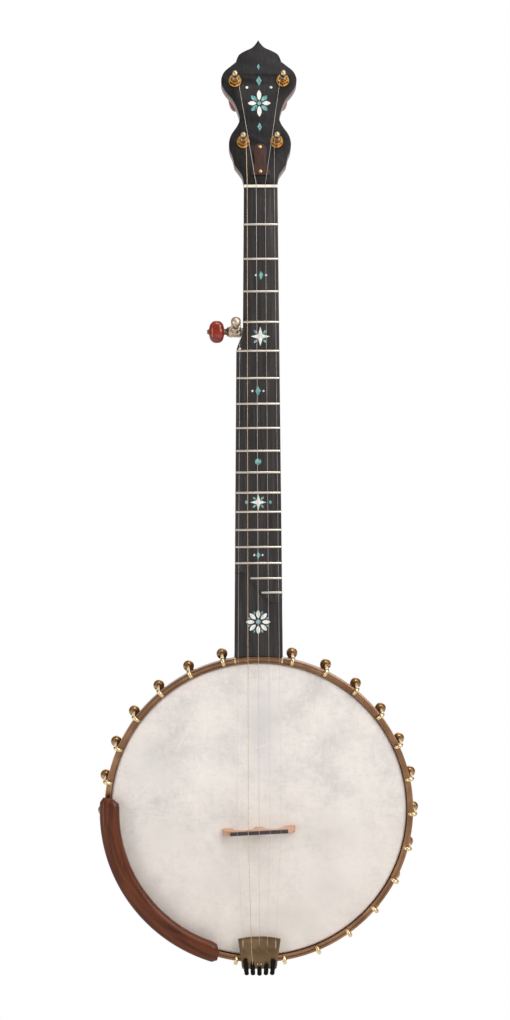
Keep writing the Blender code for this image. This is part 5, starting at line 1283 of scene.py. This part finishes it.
for number in range(1, 6):
    i = number - 1
    radius = STRING_RADII[i]
    metal = wrapped if number == 4 else steel
    tail_x, bridge_x = (2 - i) * TAIL_SPACING, (2 - i) * BRIDGE_SPACING
    over, under = TAIL_TOP + CLEAR + radius, TAIL_LOW - CLEAR - radius
    closed = Vector((*SLEEVE_FRONTS[i], SLEEVE_HEIGHT))
    opening = Vector((*SLEEVE_REARS[i], SLEEVE_HEIGHT))
    if number == 4:
        closed, opening = opening, closed
    along = (opening - closed).normalized()
    pot_line = [tuple(opening - along * 0.0006), tuple(opening)]
    if number != 4:
        behind = opening + along * 0.0006
        pot_line += [tuple(behind), (behind.x, behind.y, under), (tail_x, 0.1452, under)]
    pot_line += [(tail_x, 0.1372, over), (tail_x, 0.1320, over),
                 (bridge_x, BRIDGE_UNDER_CENTRE + 0.0010, BRIDGE_HEIGHT + OVER_BRIDGE + radius),
                 (bridge_x, BRIDGE_UNDER_CENTRE - 0.0010, BRIDGE_HEIGHT + OVER_BRIDGE + radius)]
    line = [POT @ Vector((x, -down, height)) for x, down, height in pot_line]
    if number == 5:
        wrap, at, place = FIFTH_WAIST + 0.0001 + radius, FIFTH_STRING_AT, FIFTH_POST
        end = place @ Vector((wrap, 0.0, at))
        line += [NECK @ Vector((PIP_X, -PIP_DOWN, OVER_PIP + radius)), end]
    else:
        wrap, at = POST_WAIST + 0.0001 + radius, STRING_AT
        x = NUT_XS[i]
        place = HEADSTOCK @ shift(*TUNERS[i], 0)
        end = place @ Vector((-wrap if number in (1, 2) else wrap, 0.0, at))
        line += [NECK @ Vector((x, 0.0, OVER_NUT)), NECK @ Vector((x, NUT_END, OVER_NUT)), end]
    string = bent_wire(f"string_{number}_wire", line, [radius] * len(line), 10)
    settle(string, Matrix(), metal, "instrument", f"string_{number}", smooth=60)

    turns = 3.25 if number in (4, 5) else 4.25
    side = -1 if number in (1, 2) else 1
    coil = []
    for step in range(int(turns * COIL_STEPS) + 1):
        angle = math.pi * (number in (1, 2)) - side * math.tau * step / COIL_STEPS
        lift = at - step / COIL_STEPS * radius * COIL_PITCH + turns * radius
        coil.append(place @ Vector((wrap * math.cos(angle), wrap * math.sin(angle), lift)))
    winding = bent_wire(f"string_{number}_winding", coil, [radius] * len(coil), 8)
    settle(winding, Matrix(), metal, f"post_{number}", smooth=60)

    length = (opening - closed).length
    sleeve = spun(f"string_{number}_sleeve", [(0.0, 0.0), (0.0014, 0.0), (0.0022, 0.0004)] + [
        (SLEEVE_RADIUS, 0.0012 + (length - 0.0024) * step / 9) for step in range(10)] + [
        (0.0020, length - 0.0004), (0.0014, length), (0.0008, length), (0.0, length - 0.0004)], 28)
    for vert in sleeve.data.vertices:
        round_it = math.atan2(vert.co.y, vert.co.x)
        swell = 0.94 + 0.06 * math.sin(vert.co.z * 2900 + number * 2 + 2 * round_it)
        vert.co.x *= swell
        vert.co.y *= swell
    flat_along = Vector((along.x, -along.y, along.z))
    lie = flat_along.to_track_quat("Z", "Y").to_matrix().to_4x4()
    settle(sleeve, POT @ shift(closed.x, -closed.y, closed.z) @ lie, sleeve_cloth, "instrument",
           smooth=50)


# --- Floor, light and camera ----------------------------------------------------------------
# The banjo hangs by its headstock well above a pale floor, before a white backdrop. A large soft
# box on the right lights it, weaker ones fill in, and the camera stands where the photographer did.

FLOOR_Z = -1.75
nothing_selected()
bpy.ops.mesh.primitive_plane_add(size=40.0, location=(0, 0, FLOOR_Z))
floor = bpy.context.object
floor.name = "pale_floor"
pale = Finish("pale_floor_paint", roughness=0.9)
pale.set("Base Color", (0.85, 0.85, 0.85, 1.0))
sight = pale.tree.nodes.new("ShaderNodeLightPath")
glow = pale.node("ShaderNodeEmission", {}, {"Color": (1, 1, 1, 1), "Strength": 1.0})
seen = (Wire(pale, sight.outputs["Is Camera Ray"]) + Wire(pale, sight.outputs["Is Glossy Ray"])
        + Wire(pale, sight.outputs["Is Transmission Ray"]))
floor_x, floor_y, _ = pale.parts(pale.coords())
far_out = ((floor_x * floor_x + floor_y * floor_y) ** 0.5).between(1.4, 2.8)
shown = pale.node("ShaderNodeMixShader", {}, {0: seen * (0.86 + far_out * 0.14),
                                              1: Wire(pale, pale.shader.outputs[0]), 2: glow})
pale.tree.links.new(shown.socket, pale.tree.nodes["Material Output"].inputs["Surface"])
floor.data.materials.append(pale.material)

world = bpy.data.worlds.new("studio_room")
bpy.context.scene.world = world
world.use_nodes = True
room = Nodes(world.node_tree)
_, direction_y, direction_z = room.parts(room.node("ShaderNodeTexCoord", {}, {}, "Generated"))
path = world.node_tree.nodes.new("ShaderNodeLightPath")
mirrored = (Wire(room, path.outputs["Is Glossy Ray"])
            + Wire(room, path.outputs["Is Transmission Ray"]))
white = Wire(room, path.outputs["Is Camera Ray"]) + mirrored * direction_y.between(0.80, 0.95)
front = direction_z * 0.3 - direction_y
wall_light = (0.28 + front.between(0.20, 0.50) * 0.30 - front.between(0.62, 0.94) * 0.30
              + direction_z * 0.14)
walls = room.node("ShaderNodeBackground", {}, {"Color": (1, 1, 1, 1), "Strength": wall_light})
backdrop = room.node("ShaderNodeBackground", {}, {"Color": (1, 1, 1, 1), "Strength": 1.0})
surround = room.node("ShaderNodeMixShader", {}, {0: white, 1: walls, 2: backdrop})
world.node_tree.links.new(surround.socket, world.node_tree.nodes["World Output"].inputs["Surface"])

for lamp_name, spot, wide, tall, power in (("right_soft_box", (1.7, -1.9, 0.9), 1.9, 2.0, 51.0),
                                           ("left_strip", (-2.0, -1.7, -0.3), 0.7, 2.0, 14.0),
                                           ("top_soft_box", (0.4, -1.2, 2.9), 1.6, 1.2, 26.0),
                                           ("rear_soft_box", (0.5, 1.9, 1.0), 1.6, 1.6, 10.0)):
    bpy.ops.object.light_add(type="AREA", location=spot)
    lamp = bpy.context.object
    lamp.name = lamp_name
    lamp.data.shape = "RECTANGLE"
    lamp.data.size, lamp.data.size_y = wide, tall
    lamp.data.energy = power
    lamp.rotation_euler = (Vector((0, 0, -0.35)) - Vector(spot)).to_track_quat("-Z", "Y").to_euler()

bpy.ops.object.camera_add()
camera = bpy.context.object
camera.name = "photo_camera"
camera.data.lens = 89.81
camera.data.sensor_width = 36.0
camera.location = (-0.04819, -2.63265, -0.13917)
camera.rotation_euler = (math.radians(85.8096), math.radians(0.1240), math.radians(-0.9869))
camera.data.clip_start, camera.data.clip_end = 0.05, 60.0
bpy.context.scene.camera = camera
bpy.context.scene.view_settings.view_transform = "Standard"
